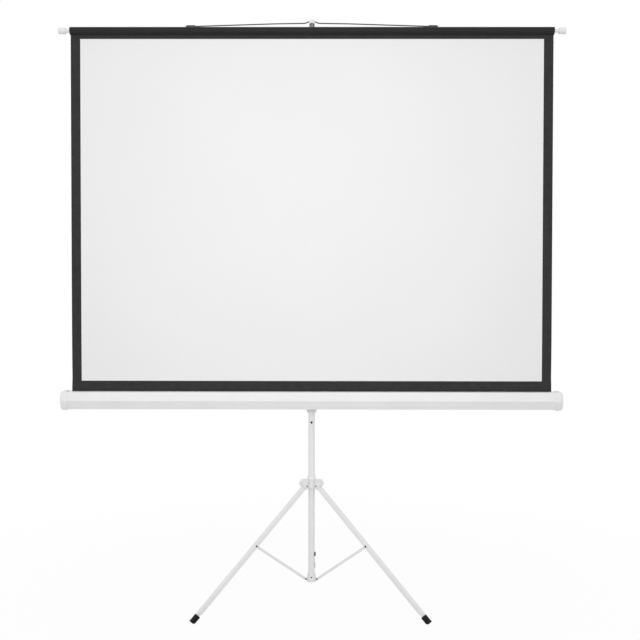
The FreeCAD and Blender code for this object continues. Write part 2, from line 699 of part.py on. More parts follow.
def build_case():
    """Six-sided case with its slot, end caps, saddle, pivot pin and the fabric that rises from it."""
    shell = pad("YZ_Plane", hexagon("0"), "case_length")
    hollow = pad("YZ_Plane", hexagon("case_wall"), "case_length + cut_overrun")
    slot_half = "(roller_length/2)"
    slot = box((f"-{slot_half}", slot_half), ("case_y + case_slot_front", "case_y + case_slot_rear"),
               ("case_top - cut_overrun", "case_top + cut_overrun"))
    publish("case_shell", cut(shell, hollow, slot))

    lap_start = "case_length/2 - case_cap_lap"
    for side, turn in (("left", 180), ("right", 0)):
        cap = pad("YZ_Plane", hexagon("-case_cap_rim"), "case_cap_length", lap_start)
        end = value(f"{lap_start} + case_cap_length")
        cap = rounded(cap, "case_cap_round", lambda edge: abs(edge.CenterOfMass.x - end) < value("fit_gap/10"))
        pocket = pad("YZ_Plane", hexagon("-fit_gap"), "cut_overrun + case_cap_lap + fit_gap",
                     f"{lap_start} - cut_overrun")
        bore = cylinder("gudgeon_radius + fit_gap", "case_length/2 - cut_overrun",
                        "roller_length/2 + gudgeon_reach + running_gap", "X", ("case_y", "case_axis_height"))
        cap = cut(cap, pocket, bore)
        if turn:
            mirrored = document.addObject("Part::Mirroring", "mirrored")
            mirrored.Source = cap
            mirrored.Normal = vector(1, 0, 0)
            cap = mirrored
        publish(f"case_cap_{side}", cap)

    slope = "(case_depth - case_flat)/case_height"
    shoulder = f"case_rear - {slope}*saddle_half_height"
    saddle = pad("YZ_Plane", [
        ("saddle_rear", "case_axis_height - saddle_half_flat"),
        ("saddle_rear", "case_axis_height + saddle_half_flat"),
        (shoulder, "case_axis_height + saddle_half_height"),
        ("case_rear", "case_axis_height"),
        (shoulder, "case_axis_height - saddle_half_height"),
    ], "saddle_length")
    pin_hole = cylinder("pivot_radius + fit_gap", "case_rear - cut_overrun", "saddle_rear + cut_overrun", "Y",
                        ("0", "case_axis_height"))
    publish("case_saddle", cut(saddle, pin_hole))
    pin = cylinder("pivot_radius", "saddle_rear - pivot_sink", "-mast_radius - clamp_hole_floor - running_gap",
                   "Y", ("0", "case_axis_height"))
    publish("case_pivot_pin", group(pin))
    fabric = box(("-fabric_width/2", "fabric_width/2"),
                 ("fabric_y - fabric_thickness/2", "fabric_y + fabric_thickness/2"),
                 ("case_axis_height", "batten_height - hem_radius - running_gap"))
    publish("screen_fabric", group(fabric))


def build_roller():
    """Roller tube with its plugs, its spring and the turns of fabric left on it."""
    centre = ("case_y", "case_axis_height")
    half = "roller_length/2"
    outside = cylinder("roller_radius", f"-{half}", half, "X", centre)
    inside = cylinder("roller_radius - roller_wall", f"-{half} - cut_overrun", f"{half} + cut_overrun", "X",
                      centre)
    publish("roller_tube", cut(outside, inside))
    plug_radius = "roller_radius - roller_wall - fit_gap"
    plugs = []
    for sign in ("-", ""):
        inner = f"{sign}({half} - roller_plug_length)"
        outer = f"{sign}({half})"
        tip = f"{sign}({half} + gudgeon_reach)"
        plug = cylinder(plug_radius, *((inner, outer) if sign == "" else (outer, inner)), "X", centre)
        gudgeon = cylinder("gudgeon_radius", *((inner, tip) if sign == "" else (tip, inner)), "X", centre)
        plugs.append(fuse(plug, gudgeon))
    publish("roller_plugs", group(*plugs))
    spring_end = f"-{half} + roller_plug_length + running_gap + roller_spring_length"
    spring_start = f"-{half} + roller_plug_length + running_gap"
    coil = cylinder("roller_radius - roller_wall - running_gap", spring_start, spring_end, "X", centre)
    core = cylinder("roller_radius - roller_wall - running_gap - roller_spring_wall",
                    f"{spring_start} - cut_overrun", f"{spring_end} + cut_overrun", "X", centre)
    publish("roller_spring", cut(coil, core))
    wrap = cylinder("wrap_radius", "-fabric_width/2", "fabric_width/2", "X", centre)
    tube_space = cylinder("roller_radius + fit_gap", "-fabric_width/2 - cut_overrun",
                          "fabric_width/2 + cut_overrun", "X", centre)
    publish("fabric_wrap", cut(wrap, tube_space))


def build_hub():
    """Sliding hub with a pair of ears for each leg."""
    ring = revolve([
        ("tripod_tube_radius + running_gap", "hub_bottom"),
        ("hub_radius - collar_chamfer", "hub_bottom"),
        ("hub_radius", "hub_bottom + collar_chamfer"),
        ("hub_radius", "hub_shoulder"),
        ("hub_neck_radius", "hub_top"),
        ("tripod_tube_radius + running_gap", "hub_top"),
    ])
    core = cylinder("tripod_tube_radius + running_gap", "hub_bottom - cut_overrun", "hub_top + cut_overrun")
    ears = []
    for azimuth in LEG_AZIMUTHS.values():
        eye = cylinder("hub_ear_radius", "-hub_ear_outer", "hub_ear_outer", "Y",
                       ("pivot_reach", "pivot_height"))
        arm = box(("tripod_tube_radius", "pivot_reach"), ("-hub_ear_outer", "hub_ear_outer"),
                  ("pivot_height - hub_ear_radius", "pivot_height + hub_ear_radius"))
        gap = box(("hub_radius", "pivot_reach + hub_ear_radius*2"), ("-hub_ear_inner", "hub_ear_inner"),
                  ("pivot_height - hub_ear_radius*2", "pivot_height + hub_ear_radius*2"))
        hole = cylinder("leg_pin_radius + fit_gap", "-hub_ear_outer*2", "hub_ear_outer*2", "Y",
                        ("pivot_reach", "pivot_height"))
        pair = cut(fuse(eye, arm), gap, hole)
        pair.Placement = around(azimuth)
        ears.append(pair)
    publish("hub", cut(fuse(ring, *ears), core))


def channel(width, depth, wall, back, start, end):
    """A U-channel along X whose web is at +Z, open at -Z."""
    outer = box((start, end), (f"-{width}/2", f"{width}/2"), (f"{back} - {depth}", back))
    hollow = box((f"{start} - cut_overrun", f"{end} + cut_overrun"),
                 (f"-{width}/2 + {wall}", f"{width}/2 - {wall}"),
                 (f"{back} - {depth} - cut_overrun", f"{back} - {wall}"))
    return outer, hollow


def cross_pin(radius, head_radius, half_grip, head, reach):
    """A pin across the leg with a head outside each cheek."""
    shank = cylinder(radius, f"-{half_grip} - {head}/2", f"{half_grip} + {head}/2", "Y", (reach, "0"))
    near = cylinder(head_radius, f"-{half_grip} - {head}", f"-{half_grip}", "Y", (reach, "0"))
    far = cylinder(head_radius, half_grip, f"{half_grip} + {head}", "Y", (reach, "0"))
    return fuse(shank, near, far)


def build_leg(side, azimuth):
    """One leg: moulded cap, pin, channel, foot plug, rubber foot and the brace that joins the base."""
    turn = around(azimuth)
    pivot = vector(value("pivot_reach"), 0, value("pivot_height"))
    tilt = FreeCAD.Placement(pivot, FreeCAD.Rotation(ACROSS, 90 - value("leg_angle")))
    stand = turn * tilt

    def beside(along, outward):
        """Place in the leg's upright plane that is along the leg and outward from its axis."""
        reach = f"pivot_reach + ({along})*sin(leg_angle) + ({outward})*cos(leg_angle)"
        height = f"pivot_height - ({along})*cos(leg_angle) + ({outward})*sin(leg_angle)"
        return reach, height

    body = pad("XZ_Plane", [
        beside("leg_cap_end", "-leg_cap_belly"),
        ("pivot_reach - leg_cap_inner", "pivot_height - leg_cap_inner/2"),
        ("pivot_reach - leg_cap_inner", "pivot_height + leg_cap_top - leg_cap_corner"),
        ("pivot_reach - leg_cap_inner + leg_cap_corner", "pivot_height + leg_cap_top"),
        ("pivot_reach + leg_cap_crown", "pivot_height + leg_cap_top"),
        ("pivot_reach + leg_cap_brow_reach", "pivot_height + leg_cap_brow_height"),
        beside("leg_cap_end", "leg_cap_hump"),
    ], "leg_cap_half_width*2")
    relief = cylinder("leg_cap_relief", "-leg_width/2 - fit_gap", "leg_width/2 + fit_gap", "Y",
                      ("pivot_reach", "pivot_height"))
    inward = box(("pivot_reach - leg_cap_inner*2", "pivot_reach"),
                 ("-leg_width/2 - fit_gap", "leg_width/2 + fit_gap"),
                 ("pivot_height - leg_cap_top*2", "pivot_height + leg_cap_relief"))
    under = box(("pivot_reach", "pivot_reach + leg_cap_relief"),
                ("-leg_width/2 - fit_gap", "leg_width/2 + fit_gap"),
                ("pivot_height - leg_cap_top*2", "pivot_height"))
    run = box(("leg_start - fit_gap", "leg_cap_end*2"), ("-leg_width/2 - fit_gap", "leg_width/2 + fit_gap"),
              ("-leg_depth*2", "leg_back + fit_gap"))
    tilted = group(run)
    tilted.Placement = tilt
    lug = cylinder("leg_lug_radius", "-leg_lug_half_width", "leg_lug_half_width", "Y",
                   ("pivot_reach", "pivot_height"))
    web = box(("pivot_reach - leg_lug_radius", "pivot_reach + leg_lug_radius"),
              ("-leg_lug_half_width", "leg_lug_half_width"), ("pivot_height", "pivot_height + leg_lug_rise"))
    pin_hole = cylinder("leg_pin_radius + fit_gap", "-leg_cap_half_width*2", "leg_cap_half_width*2", "Y",
                        ("pivot_reach", "pivot_height"))
    cap = cut(fuse(cut(body, relief, inward, under, tilted), lug, web), pin_hole)
    publish(f"leg_{side}_cap", cap, turn)

    pin = cross_pin("leg_pin_radius", "leg_pin_head_radius", "leg_cap_half_width", "leg_pin_head", "0")
    publish(f"leg_{side}_pin", pin, stand)

    outer, hollow = channel("leg_width", "leg_depth", "leg_wall", "leg_back", "leg_start",
                            "leg_channel_end")
    outer = rounded(outer, "leg_corner", lambda edge: abs(edge.tangentAt(edge.FirstParameter).x) > 0.5
                    and edge.CenterOfMass.z > 0)
    hole = cylinder("brace_pin_radius + fit_gap", "-leg_width", "leg_width", "Y", ("brace_pin_distance", "0"))
    publish(f"leg_{side}_channel", cut(outer, hollow, hole), stand)

    plug_end = "leg_length - foot_length + foot_plug_sink"
    plug_sides = ("-foot_plug_width/2", "foot_plug_width/2")
    plug = box((f"{plug_end} - foot_plug_length", plug_end), plug_sides,
               ("-foot_plug_bottom", "leg_back - leg_wall"))
    publish(f"leg_{side}_foot_plug", group(plug), stand)

    block = box(("leg_length - foot_length", "leg_length"), ("-foot_width/2", "foot_width/2"),
                ("-foot_width/2", "foot_width/2"))
    block = rounded(block, "foot_round", lambda edge: abs(edge.tangentAt(edge.FirstParameter).x) > 0.5)
    socket = box(("leg_length - foot_length - cut_overrun", f"{plug_end} + fit_gap"),
                 ("-foot_plug_width/2 - fit_gap", "foot_plug_width/2 + fit_gap"),
                 ("-foot_plug_bottom - fit_gap", "leg_back - leg_wall + fit_gap"))
    ground = box(("-leg_length", "leg_length*2"), ("-foot_width", "foot_width"), ("-leg_length", "0"))
    floor_part = group(ground)
    floor_part.Placement = tilt.inverse()
    publish(f"leg_{side}_foot", cut(block, socket, floor_part), stand)

    brace_pin = cross_pin("brace_pin_radius", "brace_pin_head_radius", "leg_width/2", "brace_pin_head",
                          "brace_pin_distance")
    publish(f"leg_{side}_brace_pin", brace_pin, stand)

    start = vector(value("brace_pin_reach"), 0, value("brace_pin_height"))
    across = vector(-value("brace_drop"), 0, value("brace_run"))
    along = vector(-value("brace_run"), 0, -value("brace_drop"))
    lie = turn * FreeCAD.Placement(start, FreeCAD.Rotation(along, vector(0, 1, 0), -across, "XYZ"))
    outer, hollow = channel("brace_width", "brace_height", "brace_wall", "brace_height/2", "-brace_end",
                            "brace_length + brace_end")
    upper = cylinder("brace_pin_radius + fit_gap", "-brace_width", "brace_width", "Y", ("0", "0"))
    lower = cylinder("brace_rivet_radius + fit_gap", "-brace_width", "brace_width", "Y",
                     ("brace_length", "0"))
    publish(f"brace_{side}_channel", cut(outer, hollow, upper, lower), lie)
    rivets = []
    for sign in ("-", ""):
        inner = f"{sign}(base_lug_width/2 + running_gap)"
        face = f"{sign}(brace_width/2)"
        outer_end = f"{sign}(brace_width/2 + brace_rivet_head)"
        shank = cylinder("brace_rivet_radius", *((inner, outer_end) if sign == "" else (outer_end, inner)),
                         "Y", ("brace_length", "0"))
        head = cylinder("brace_rivet_head_radius", *((face, outer_end) if sign == "" else (outer_end, face)),
                        "Y", ("brace_length", "0"))
        rivets.append(fuse(shank, head))
    publish(f"brace_{side}_rivets", group(*rivets), lie)


def check_and_write():
    """Check every object and shape, then write one STEP file for each piece."""
    document.recompute()
    for item in document.Objects:
        if "Invalid" in item.State or "Error" in item.State:
            raise RuntimeError(f"{item.Label} failed: {item.State}")
    os.makedirs("parts", exist_ok=True)
    for item in nodes:
        if item.Shape.isNull() or not item.Shape.isValid():
            raise RuntimeError(f"{item.Label} has no valid shape")
        item.Shape.exportStep(f"parts/{item.Label}.step")
        print(item.Label, len(item.Shape.Solids), round(item.Shape.Volume))


build_tripod_tube()
build_height_button()
build_hub()
build_mast()
build_extensions()
build_hook()
build_batten()
build_bail()
build_case()
build_roller()
for leg_side, leg_azimuth in LEG_AZIMUTHS.items():
    build_leg(leg_side, leg_azimuth)
check_and_write()
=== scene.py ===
import json
import logging
import math
from dataclasses import dataclass, field
from enum import Enum
from typing import Sequence

import bmesh
import bpy
import numpy as np
from mathutils import Matrix, Vector


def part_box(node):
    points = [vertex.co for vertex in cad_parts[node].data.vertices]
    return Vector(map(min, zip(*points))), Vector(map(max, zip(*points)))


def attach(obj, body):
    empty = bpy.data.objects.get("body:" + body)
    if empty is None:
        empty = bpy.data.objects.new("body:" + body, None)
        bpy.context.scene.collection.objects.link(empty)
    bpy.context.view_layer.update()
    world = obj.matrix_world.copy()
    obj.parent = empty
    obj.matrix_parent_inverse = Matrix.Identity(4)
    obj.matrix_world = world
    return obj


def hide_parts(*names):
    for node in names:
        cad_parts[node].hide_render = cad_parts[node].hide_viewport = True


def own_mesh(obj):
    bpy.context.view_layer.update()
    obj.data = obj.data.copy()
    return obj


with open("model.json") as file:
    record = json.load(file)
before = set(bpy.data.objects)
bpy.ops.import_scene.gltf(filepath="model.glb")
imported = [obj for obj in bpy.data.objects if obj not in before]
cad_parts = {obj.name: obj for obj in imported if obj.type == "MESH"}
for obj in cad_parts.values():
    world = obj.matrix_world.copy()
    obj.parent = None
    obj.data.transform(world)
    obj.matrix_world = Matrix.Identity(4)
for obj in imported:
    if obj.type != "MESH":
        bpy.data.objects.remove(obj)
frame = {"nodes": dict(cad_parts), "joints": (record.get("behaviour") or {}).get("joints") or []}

logging.basicConfig(level=logging.INFO, format="%(message)s")
log = logging.getLogger("projection_screen")

Tree = bpy.types.NodeTree
Socket = bpy.types.NodeSocket
Material = bpy.types.Material
Piece = bpy.types.Object
Colour = tuple[float, float, float]

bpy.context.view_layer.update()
# The way that each leg points, in degrees from +X towards +Y
LEG_AZIMUTHS = {"left": 210.0, "right": 330.0, "rear": 90.0}
# An edge that turns by more than this stays hard
HARD_EDGE = math.radians(38.0)
# Points nearer to each other than this are one point
MERGE_DISTANCE = 1e-6
# A point nearer to a cut than this lies on it
CUT_TOLERANCE = 1e-7
# How much of a run the rounding of one of its corners may take up
CORNER_SHARE = 1 / 2.2


class Pattern(Enum):
    """What the small relief of a finish looks like."""

    ORANGE_PEEL = "orange_peel"
    MOULD_GRAIN = "mould_grain"
    BRUSHED = "brushed"
    PEBBLED = "pebbled"


@dataclass(frozen=True)
class Finish:
    """A solid finish with its colour spread, its gloss spread and its relief.

    A broad noise spreads the colour and a fine one spreads the gloss. Both are on Object coordinates, and
    brushed metal draws them out along X. The relief is the fine noise, or on pebbled and grained finishes
    the distance to the nearest of a field of cells. The roughness is its least and its most, and depths and
    radii are in metres.
    """

    name: str
    colour: Colour
    deep_colour: Colour
    roughness: tuple[float, float]
    pattern: Pattern
    relief_scale: float
    relief_depth: float
    metallic: float = 0.0
    specular: float = 0.5
    coat: float = 0.0
    coat_roughness: float = 0.25
    edge_radius: float = 0.0
    brush_stretch: float = 0.06
    blotch_scale: float = 9.0
    blotch_detail: float = 3.0
    blotch_span: tuple[float, float] = (0.35, 0.7)
    relief_detail: float = 4.0
    relief_strength: float = 0.6

    def material(self) -> Material:
        """Build the finish as a node material.

        Returns:
            The material, with its plain values on the shader's own sockets.
        """
        material = bpy.data.materials.new(self.name)
        material.use_nodes = True
        tree = material.node_tree
        shader = tree.nodes["Principled BSDF"]
        shader.inputs["Metallic"].default_value = self.metallic
        shader.inputs["Specular IOR Level"].default_value = self.specular
        shader.inputs["Coat Weight"].default_value = self.coat
        shader.inputs["Coat Roughness"].default_value = self.coat_roughness
        place = tree.nodes.new("ShaderNodeTexCoord")
        stretch = tree.nodes.new("ShaderNodeMapping")
        if self.pattern is Pattern.BRUSHED:
            stretch.inputs["Scale"].default_value = (self.brush_stretch, 1.0, 1.0)
        tree.links.new(place.outputs["Object"], stretch.inputs["Vector"])
        broad = noise(tree, stretch.outputs["Vector"], self.blotch_scale, self.blotch_detail)
        fine = noise(tree, stretch.outputs["Vector"], self.relief_scale, self.relief_detail)
        tone = ramp(tree, broad, self.blotch_span, self.deep_colour, self.colour)
        tree.links.new(tone, shader.inputs["Base Color"])
        gloss = tree.nodes.new("ShaderNodeMapRange")
        gloss.inputs["To Min"].default_value = self.roughness[0]
        gloss.inputs["To Max"].default_value = self.roughness[1]
        tree.links.new(fine, gloss.inputs["Value"])
        tree.links.new(gloss.outputs["Result"], shader.inputs["Roughness"])
        relief = tree.nodes.new("ShaderNodeBump")
        relief.inputs["Strength"].default_value = self.relief_strength
        relief.inputs["Distance"].default_value = self.relief_depth
        height = fine
        if self.pattern in (Pattern.PEBBLED, Pattern.MOULD_GRAIN):
            cells = tree.nodes.new("ShaderNodeTexVoronoi")
            cells.inputs["Scale"].default_value = self.relief_scale
            tree.links.new(place.outputs["Object"], cells.inputs["Vector"])
            height = cells.outputs["Distance"]
        tree.links.new(height, relief.inputs["Height"])
        if self.edge_radius:
            soft_edge = tree.nodes.new("ShaderNodeBevel")
            soft_edge.inputs["Radius"].default_value = self.edge_radius
            tree.links.new(soft_edge.outputs["Normal"], relief.inputs["Normal"])
        tree.links.new(relief.outputs["Normal"], shader.inputs["Normal"])
        return material


@dataclass(frozen=True)
class Cloth:
    """A woven finish whose threads follow the piece's own UV map, which is in metres.

    With a border, the cloth is light inside a rectangle of the UV map and dark outside it. The window is
    that rectangle's left, right, bottom and top.
    """

    name: str
    colour: Colour
    roughness: float
    sheen: float
    relief_depth: float
    thread: float = 0.0011
    specular: float = 0.15
    sheen_roughness: float = 0.5
    relief_strength: float = 0.5
    cloudiness: float = 0.012
    cloud_scale: float = 2.5
    cloud_detail: float = 2.0
    tone_span: tuple[float, float] = (0.3, 0.75)
    border_colour: Colour | None = None
    border_wear: float = 1.3
    border_scale: float = 30.0
    border_detail: float = 4.0
    window: tuple[float, float, float, float] = (0.0, 0.0, 0.0, 0.0)

    def material(self) -> Material:
        """Build the cloth as a node material.

        Returns:
            The material, whose weave is the product of two sine waves along the threads.
        """
        material = bpy.data.materials.new(self.name)
        material.use_nodes = True
        tree = material.node_tree
        shader = tree.nodes["Principled BSDF"]
        shader.inputs["Roughness"].default_value = self.roughness
        shader.inputs["Sheen Weight"].default_value = self.sheen
        shader.inputs["Sheen Roughness"].default_value = self.sheen_roughness
        shader.inputs["Specular IOR Level"].default_value = self.specular
        threads = tree.nodes.new("ShaderNodeUVMap")
        threads.uv_map = "cloth"
        flat = threads.outputs["UV"]
        parts = tree.nodes.new("ShaderNodeSeparateXYZ")
        tree.links.new(flat, parts.inputs["Vector"])
        turns = 2 * math.pi / self.thread
        across = calculate(tree, "SINE", calculate(tree, "MULTIPLY", parts.outputs["X"], turns))
        along = calculate(tree, "SINE", calculate(tree, "MULTIPLY", parts.outputs["Y"], turns))
        weave = calculate(tree, "MULTIPLY", across, along)
        cloudy = noise(tree, flat, self.cloud_scale, self.cloud_detail)
        dark = tuple(channel * (1 - self.cloudiness) for channel in self.colour)
        tone = ramp(tree, cloudy, self.tone_span, dark, self.colour)
        if self.border_colour:
            left, right, bottom, top = self.window
            inside = calculate(tree, "MULTIPLY",
                               between(tree, parts.outputs["X"], left, right),
                               between(tree, parts.outputs["Y"], bottom, top))
            worn = tuple(channel * self.border_wear for channel in self.border_colour)
            patches = noise(tree, flat, self.border_scale, self.border_detail)
            mix = tree.nodes.new("ShaderNodeMix")
            mix.data_type = "RGBA"
            tree.links.new(inside, mix.inputs["Factor"])
            tree.links.new(ramp(tree, patches, self.tone_span, self.border_colour, worn), mix.inputs["A"])
            tree.links.new(tone, mix.inputs["B"])
            tone = mix.outputs["Result"]
        tree.links.new(tone, shader.inputs["Base Color"])
        relief = tree.nodes.new("ShaderNodeBump")
        relief.inputs["Strength"].default_value = self.relief_strength
        relief.inputs["Distance"].default_value = self.relief_depth
        tree.links.new(weave, relief.inputs["Height"])
        tree.links.new(relief.outputs["Normal"], shader.inputs["Normal"])
        return material


def noise(tree: Tree, vector: Socket, scale: float, detail: float) -> Socket:
    """Add a noise texture.

    Args:
        tree: The material's nodes.
        vector: Where the noise is read.
        scale: How many blotches there are to a metre.
        detail: How many finer layers it has.

    Returns:
        The noise, from 0 to 1.
    """
    node = tree.nodes.new("ShaderNodeTexNoise")
    node.inputs["Scale"].default_value = scale
    node.inputs["Detail"].default_value = detail
    tree.links.new(vector, node.inputs["Vector"])
    return node.outputs["Fac"]


def ramp(tree: Tree, value: Socket, span: tuple[float, float], first: Sequence[float],
         last: Sequence[float]) -> Socket:
    """Turn a value into a colour between two.

    Args:
        tree: The material's nodes.
        value: The value that picks the colour.
        span: The values at which the first colour ends and the last one begins.
        first: The colour up to the span.
        last: The colour past the span.

    Returns:
        The colour.
    """
    node = tree.nodes.new("ShaderNodeValToRGB")
    for stop, position, colour in zip(node.color_ramp.elements, span, (first, last)):
        stop.position = position
        stop.color = (*colour, 1.0)
    tree.links.new(value, node.inputs["Fac"])
    return node.outputs["Color"]


def calculate(tree: Tree, operation: str, first: Socket, second: Socket | float | None = None) -> Socket:
    """Add a Math node.

    Args:
        tree: The material's nodes.
        operation: The node's operation.
        first: Its first value.
        second: Its second value, if it takes one.

    Returns:
        The result.
    """
    node = tree.nodes.new("ShaderNodeMath")
    node.operation = operation
    tree.links.new(first, node.inputs[0])
    if isinstance(second, float):
        node.inputs[1].default_value = second
    elif second is not None:
        tree.links.new(second, node.inputs[1])
    return node.outputs["Value"]


def between(tree: Tree, value: Socket, low: float, high: float) -> Socket:
    """Tell whether a value lies between two limits.

    Args:
        tree: The material's nodes.
        value: The value to test.
        low: The lower limit.
        high: The upper limit.

    Returns:
        1 between the limits and 0 elsewhere.
    """
    above = calculate(tree, "GREATER_THAN", value, low)
    below = calculate(tree, "LESS_THAN", value, high)
    return calculate(tree, "MULTIPLY", above, below)


WHITE_PAINT = Finish(
    "white_powder_coat", colour=(0.895, 0.895, 0.895), deep_colour=(0.865, 0.865, 0.87),
    roughness=(0.34, 0.42), pattern=Pattern.ORANGE_PEEL, relief_scale=420.0, relief_depth=0.000022, coat=0.1,
)
WHITE_PLASTIC = Finish(
    "white_moulding", colour=(0.89, 0.89, 0.895), deep_colour=(0.86, 0.86, 0.865), roughness=(0.32, 0.46),
    pattern=Pattern.MOULD_GRAIN, relief_scale=1400.0, relief_depth=0.00003, edge_radius=0.0009,
)
DARK_METAL = Finish(
    "blackened_wire", colour=(0.075, 0.075, 0.08), deep_colour=(0.045, 0.045, 0.05), roughness=(0.28, 0.45),
    pattern=Pattern.BRUSHED, relief_scale=900.0, relief_depth=0.00003, metallic=0.75,
)
# Mid grey, much darker than the white paint of the legs: painted shade for the shadowed gap beside each leg's
# pivot at the hub.
RIVET_GREY_FOR_PAINTED_SHADE = Finish(
    "rivet_grey_for_painted_shade", colour=(0.42, 0.42, 0.42), deep_colour=(0.34, 0.34, 0.34), roughness=(0.3, 0.45),
    pattern=Pattern.ORANGE_PEEL, relief_scale=600.0, relief_depth=0.00003,
)
PLATED_STEEL = Finish(
    "zinc_plated_steel", colour=(0.62, 0.63, 0.64), deep_colour=(0.5, 0.5, 0.52), roughness=(0.25, 0.42),
    pattern=Pattern.BRUSHED, relief_scale=700.0, relief_depth=0.00002, metallic=1.0,
)
RUBBER = Finish(
    "black_rubber", colour=(0.012, 0.012, 0.0125), deep_colour=(0.008, 0.008, 0.008), roughness=(0.5, 0.72),
    pattern=Pattern.PEBBLED, relief_scale=900.0, relief_depth=0.00008, specular=0.2,
)
BLACK_PLASTIC = Finish(
    "black_moulding", colour=(0.03, 0.03, 0.032), deep_colour=(0.02, 0.02, 0.022), roughness=(0.35, 0.5),
    pattern=Pattern.MOULD_GRAIN, relief_scale=1200.0, relief_depth=0.00003, edge_radius=0.0006,
)
BLACK_THREAD = Finish(
    "black_thread", colour=(0.04, 0.04, 0.042), deep_colour=(0.02, 0.02, 0.02), roughness=(0.5, 0.7),
    pattern=Pattern.PEBBLED, relief_scale=2500.0, relief_depth=0.00005,
)
HEM_CLOTH = Cloth(
    "black_hem_cloth", colour=(0.013, 0.013, 0.014), roughness=0.55, sheen=0.05, relief_depth=0.0001,
    specular=0.22,
)
BACKING_CLOTH = Cloth(
    "black_backing_cloth", colour=(0.024, 0.024, 0.026), roughness=0.8, sheen=0.15, relief_depth=0.0001,
)


def grid_faces(rows: int, columns: int, around: bool) -> np.ndarray:
    """Number the quads of a grid of points, row after row.

    Args:
        rows: How many rows the grid has.
        columns: How many points a row has.
        around: True if each row closes on itself.

    Returns:
        Quads by 4; a quad faces the way that row step cross column step points.
    """
    index = np.arange(rows * columns).reshape(rows, columns)
    if around:
        index = np.concatenate([index, index[:, :1]], axis=1)
    corners = [index[:-1, :-1], index[1:, :-1], index[1:, 1:], index[:-1, 1:]]
    return np.stack(corners, axis=-1).reshape(-1, 4)


def put_in_scene(name: str, mesh: bpy.types.Mesh) -> Piece:
    """Make an object of a mesh and link it.

    Args:
        name: The piece's name.
        mesh: Its mesh, in place.

    Returns:
        The new object, at the origin.
    """
    piece = bpy.data.objects.new(name, mesh)
    bpy.context.scene.collection.objects.link(piece)
    return piece


def surface(name: str, points: np.ndarray, around: bool = False, uv: np.ndarray | None = None) -> Piece:
    """Make a mesh from a grid of points.

    Args:
        name: The piece's name.
        points: Rows by columns by 3, in metres.
        around: True if each row closes on itself.
        uv: Rows by columns by 2, the same grid laid flat, in metres.

    Returns:
        The new object.
    """
    rows, columns = points.shape[:2]
    quads = grid_faces(rows, columns, around)
    mesh = bpy.data.meshes.new(name)
    mesh.from_pydata(points.reshape(-1, 3).tolist(), [], quads.tolist())
    if uv is not None:
        layer = mesh.uv_layers.new(name="cloth")
        flat = uv.reshape(-1, 2)[quads.reshape(-1)]
        layer.data.foreach_set("uv", flat.astype(np.float32).reshape(-1))
    mesh.polygons.foreach_set("use_smooth", np.ones(len(quads), dtype=bool))
    mesh.update()
    return put_in_scene(name, mesh)


def closed(rings: np.ndarray) -> np.ndarray:
    """Close a tube of rings with a point in the middle of its first and last ring.

    Args:
        rings: Rings by points by 3.

    Returns:
        The rings, with a ring that is one repeated point before them and another after them.
    """
    first = np.broadcast_to(rings[0].mean(axis=0), rings[0].shape)
    last = np.broadcast_to(rings[-1].mean(axis=0), rings[-1].shape)
    return np.concatenate([first[None], rings, last[None]])


def merge(piece: Piece) -> Piece:
    """Merge doubled points, turn every face outwards and keep hard edges hard.

    Args:
        piece: A closed mesh object.

    Returns:
        The same object.
    """
    work = bmesh.new()
    work.from_mesh(piece.data)
    bmesh.ops.remove_doubles(work, verts=work.verts, dist=MERGE_DISTANCE)
    bmesh.ops.recalc_face_normals(work, faces=work.faces)
    work.to_mesh(piece.data)
    work.free()
    return crisp(piece)


def crisp(piece: Piece) -> Piece:
    """Shade smoothly, apart from the edges that turn by more than HARD_EDGE.

    Args:
        piece: A mesh object.

    Returns:
        The same object.
    """
    mesh = piece.data
    mesh.polygons.foreach_set("use_smooth", np.ones(len(mesh.polygons), dtype=bool))
    mesh.set_sharp_from_angle(angle=HARD_EDGE)
    return piece


def cut_flat(piece: Piece, height: float) -> Piece:
    """Cut a closed piece off level and close it there.

    Args:
        piece: A closed mesh object.
        height: The level below which nothing is left.

    Returns:
        The same object.
    """
    work = bmesh.new()
    work.from_mesh(piece.data)
    everything = [*work.verts, *work.edges, *work.faces]
    cut = bmesh.ops.bisect_plane(work, geom=everything, dist=CUT_TOLERANCE, plane_co=(0, 0, height),
                                 plane_no=(0, 0, 1), clear_inner=True)
    rim = [item for item in cut["geom_cut"] if isinstance(item, bmesh.types.BMEdge)]
    bmesh.ops.edgeloop_fill(work, edges=rim)
    work.to_mesh(piece.data)
    work.free()
    return merge(piece)


def apply_modifiers(piece: Piece) -> Piece:
    """Make a piece's modifiers part of its mesh.

    Args:
        piece: A mesh object with modifiers.

    Returns:
        The same object, without modifiers.
    """
    graph = bpy.context.evaluated_depsgraph_get()
    mesh = bpy.data.meshes.new_from_object(piece.evaluated_get(graph))
    piece.modifiers.clear()
    piece.data = mesh
    return crisp(piece)


def join(name: str, pieces: list[Piece]) -> Piece:
    """Join pieces into one.

    Args:
        name: The joined piece's name.
        pieces: The pieces; the first takes up the rest.

    Returns:
        The joined piece.
    """
    first = pieces[0]
    with bpy.context.temp_override(active_object=first, object=first, selected_objects=pieces,
                                   selected_editable_objects=pieces):
        bpy.ops.object.join()
    first.name = name
    first.data.name = name
    return first


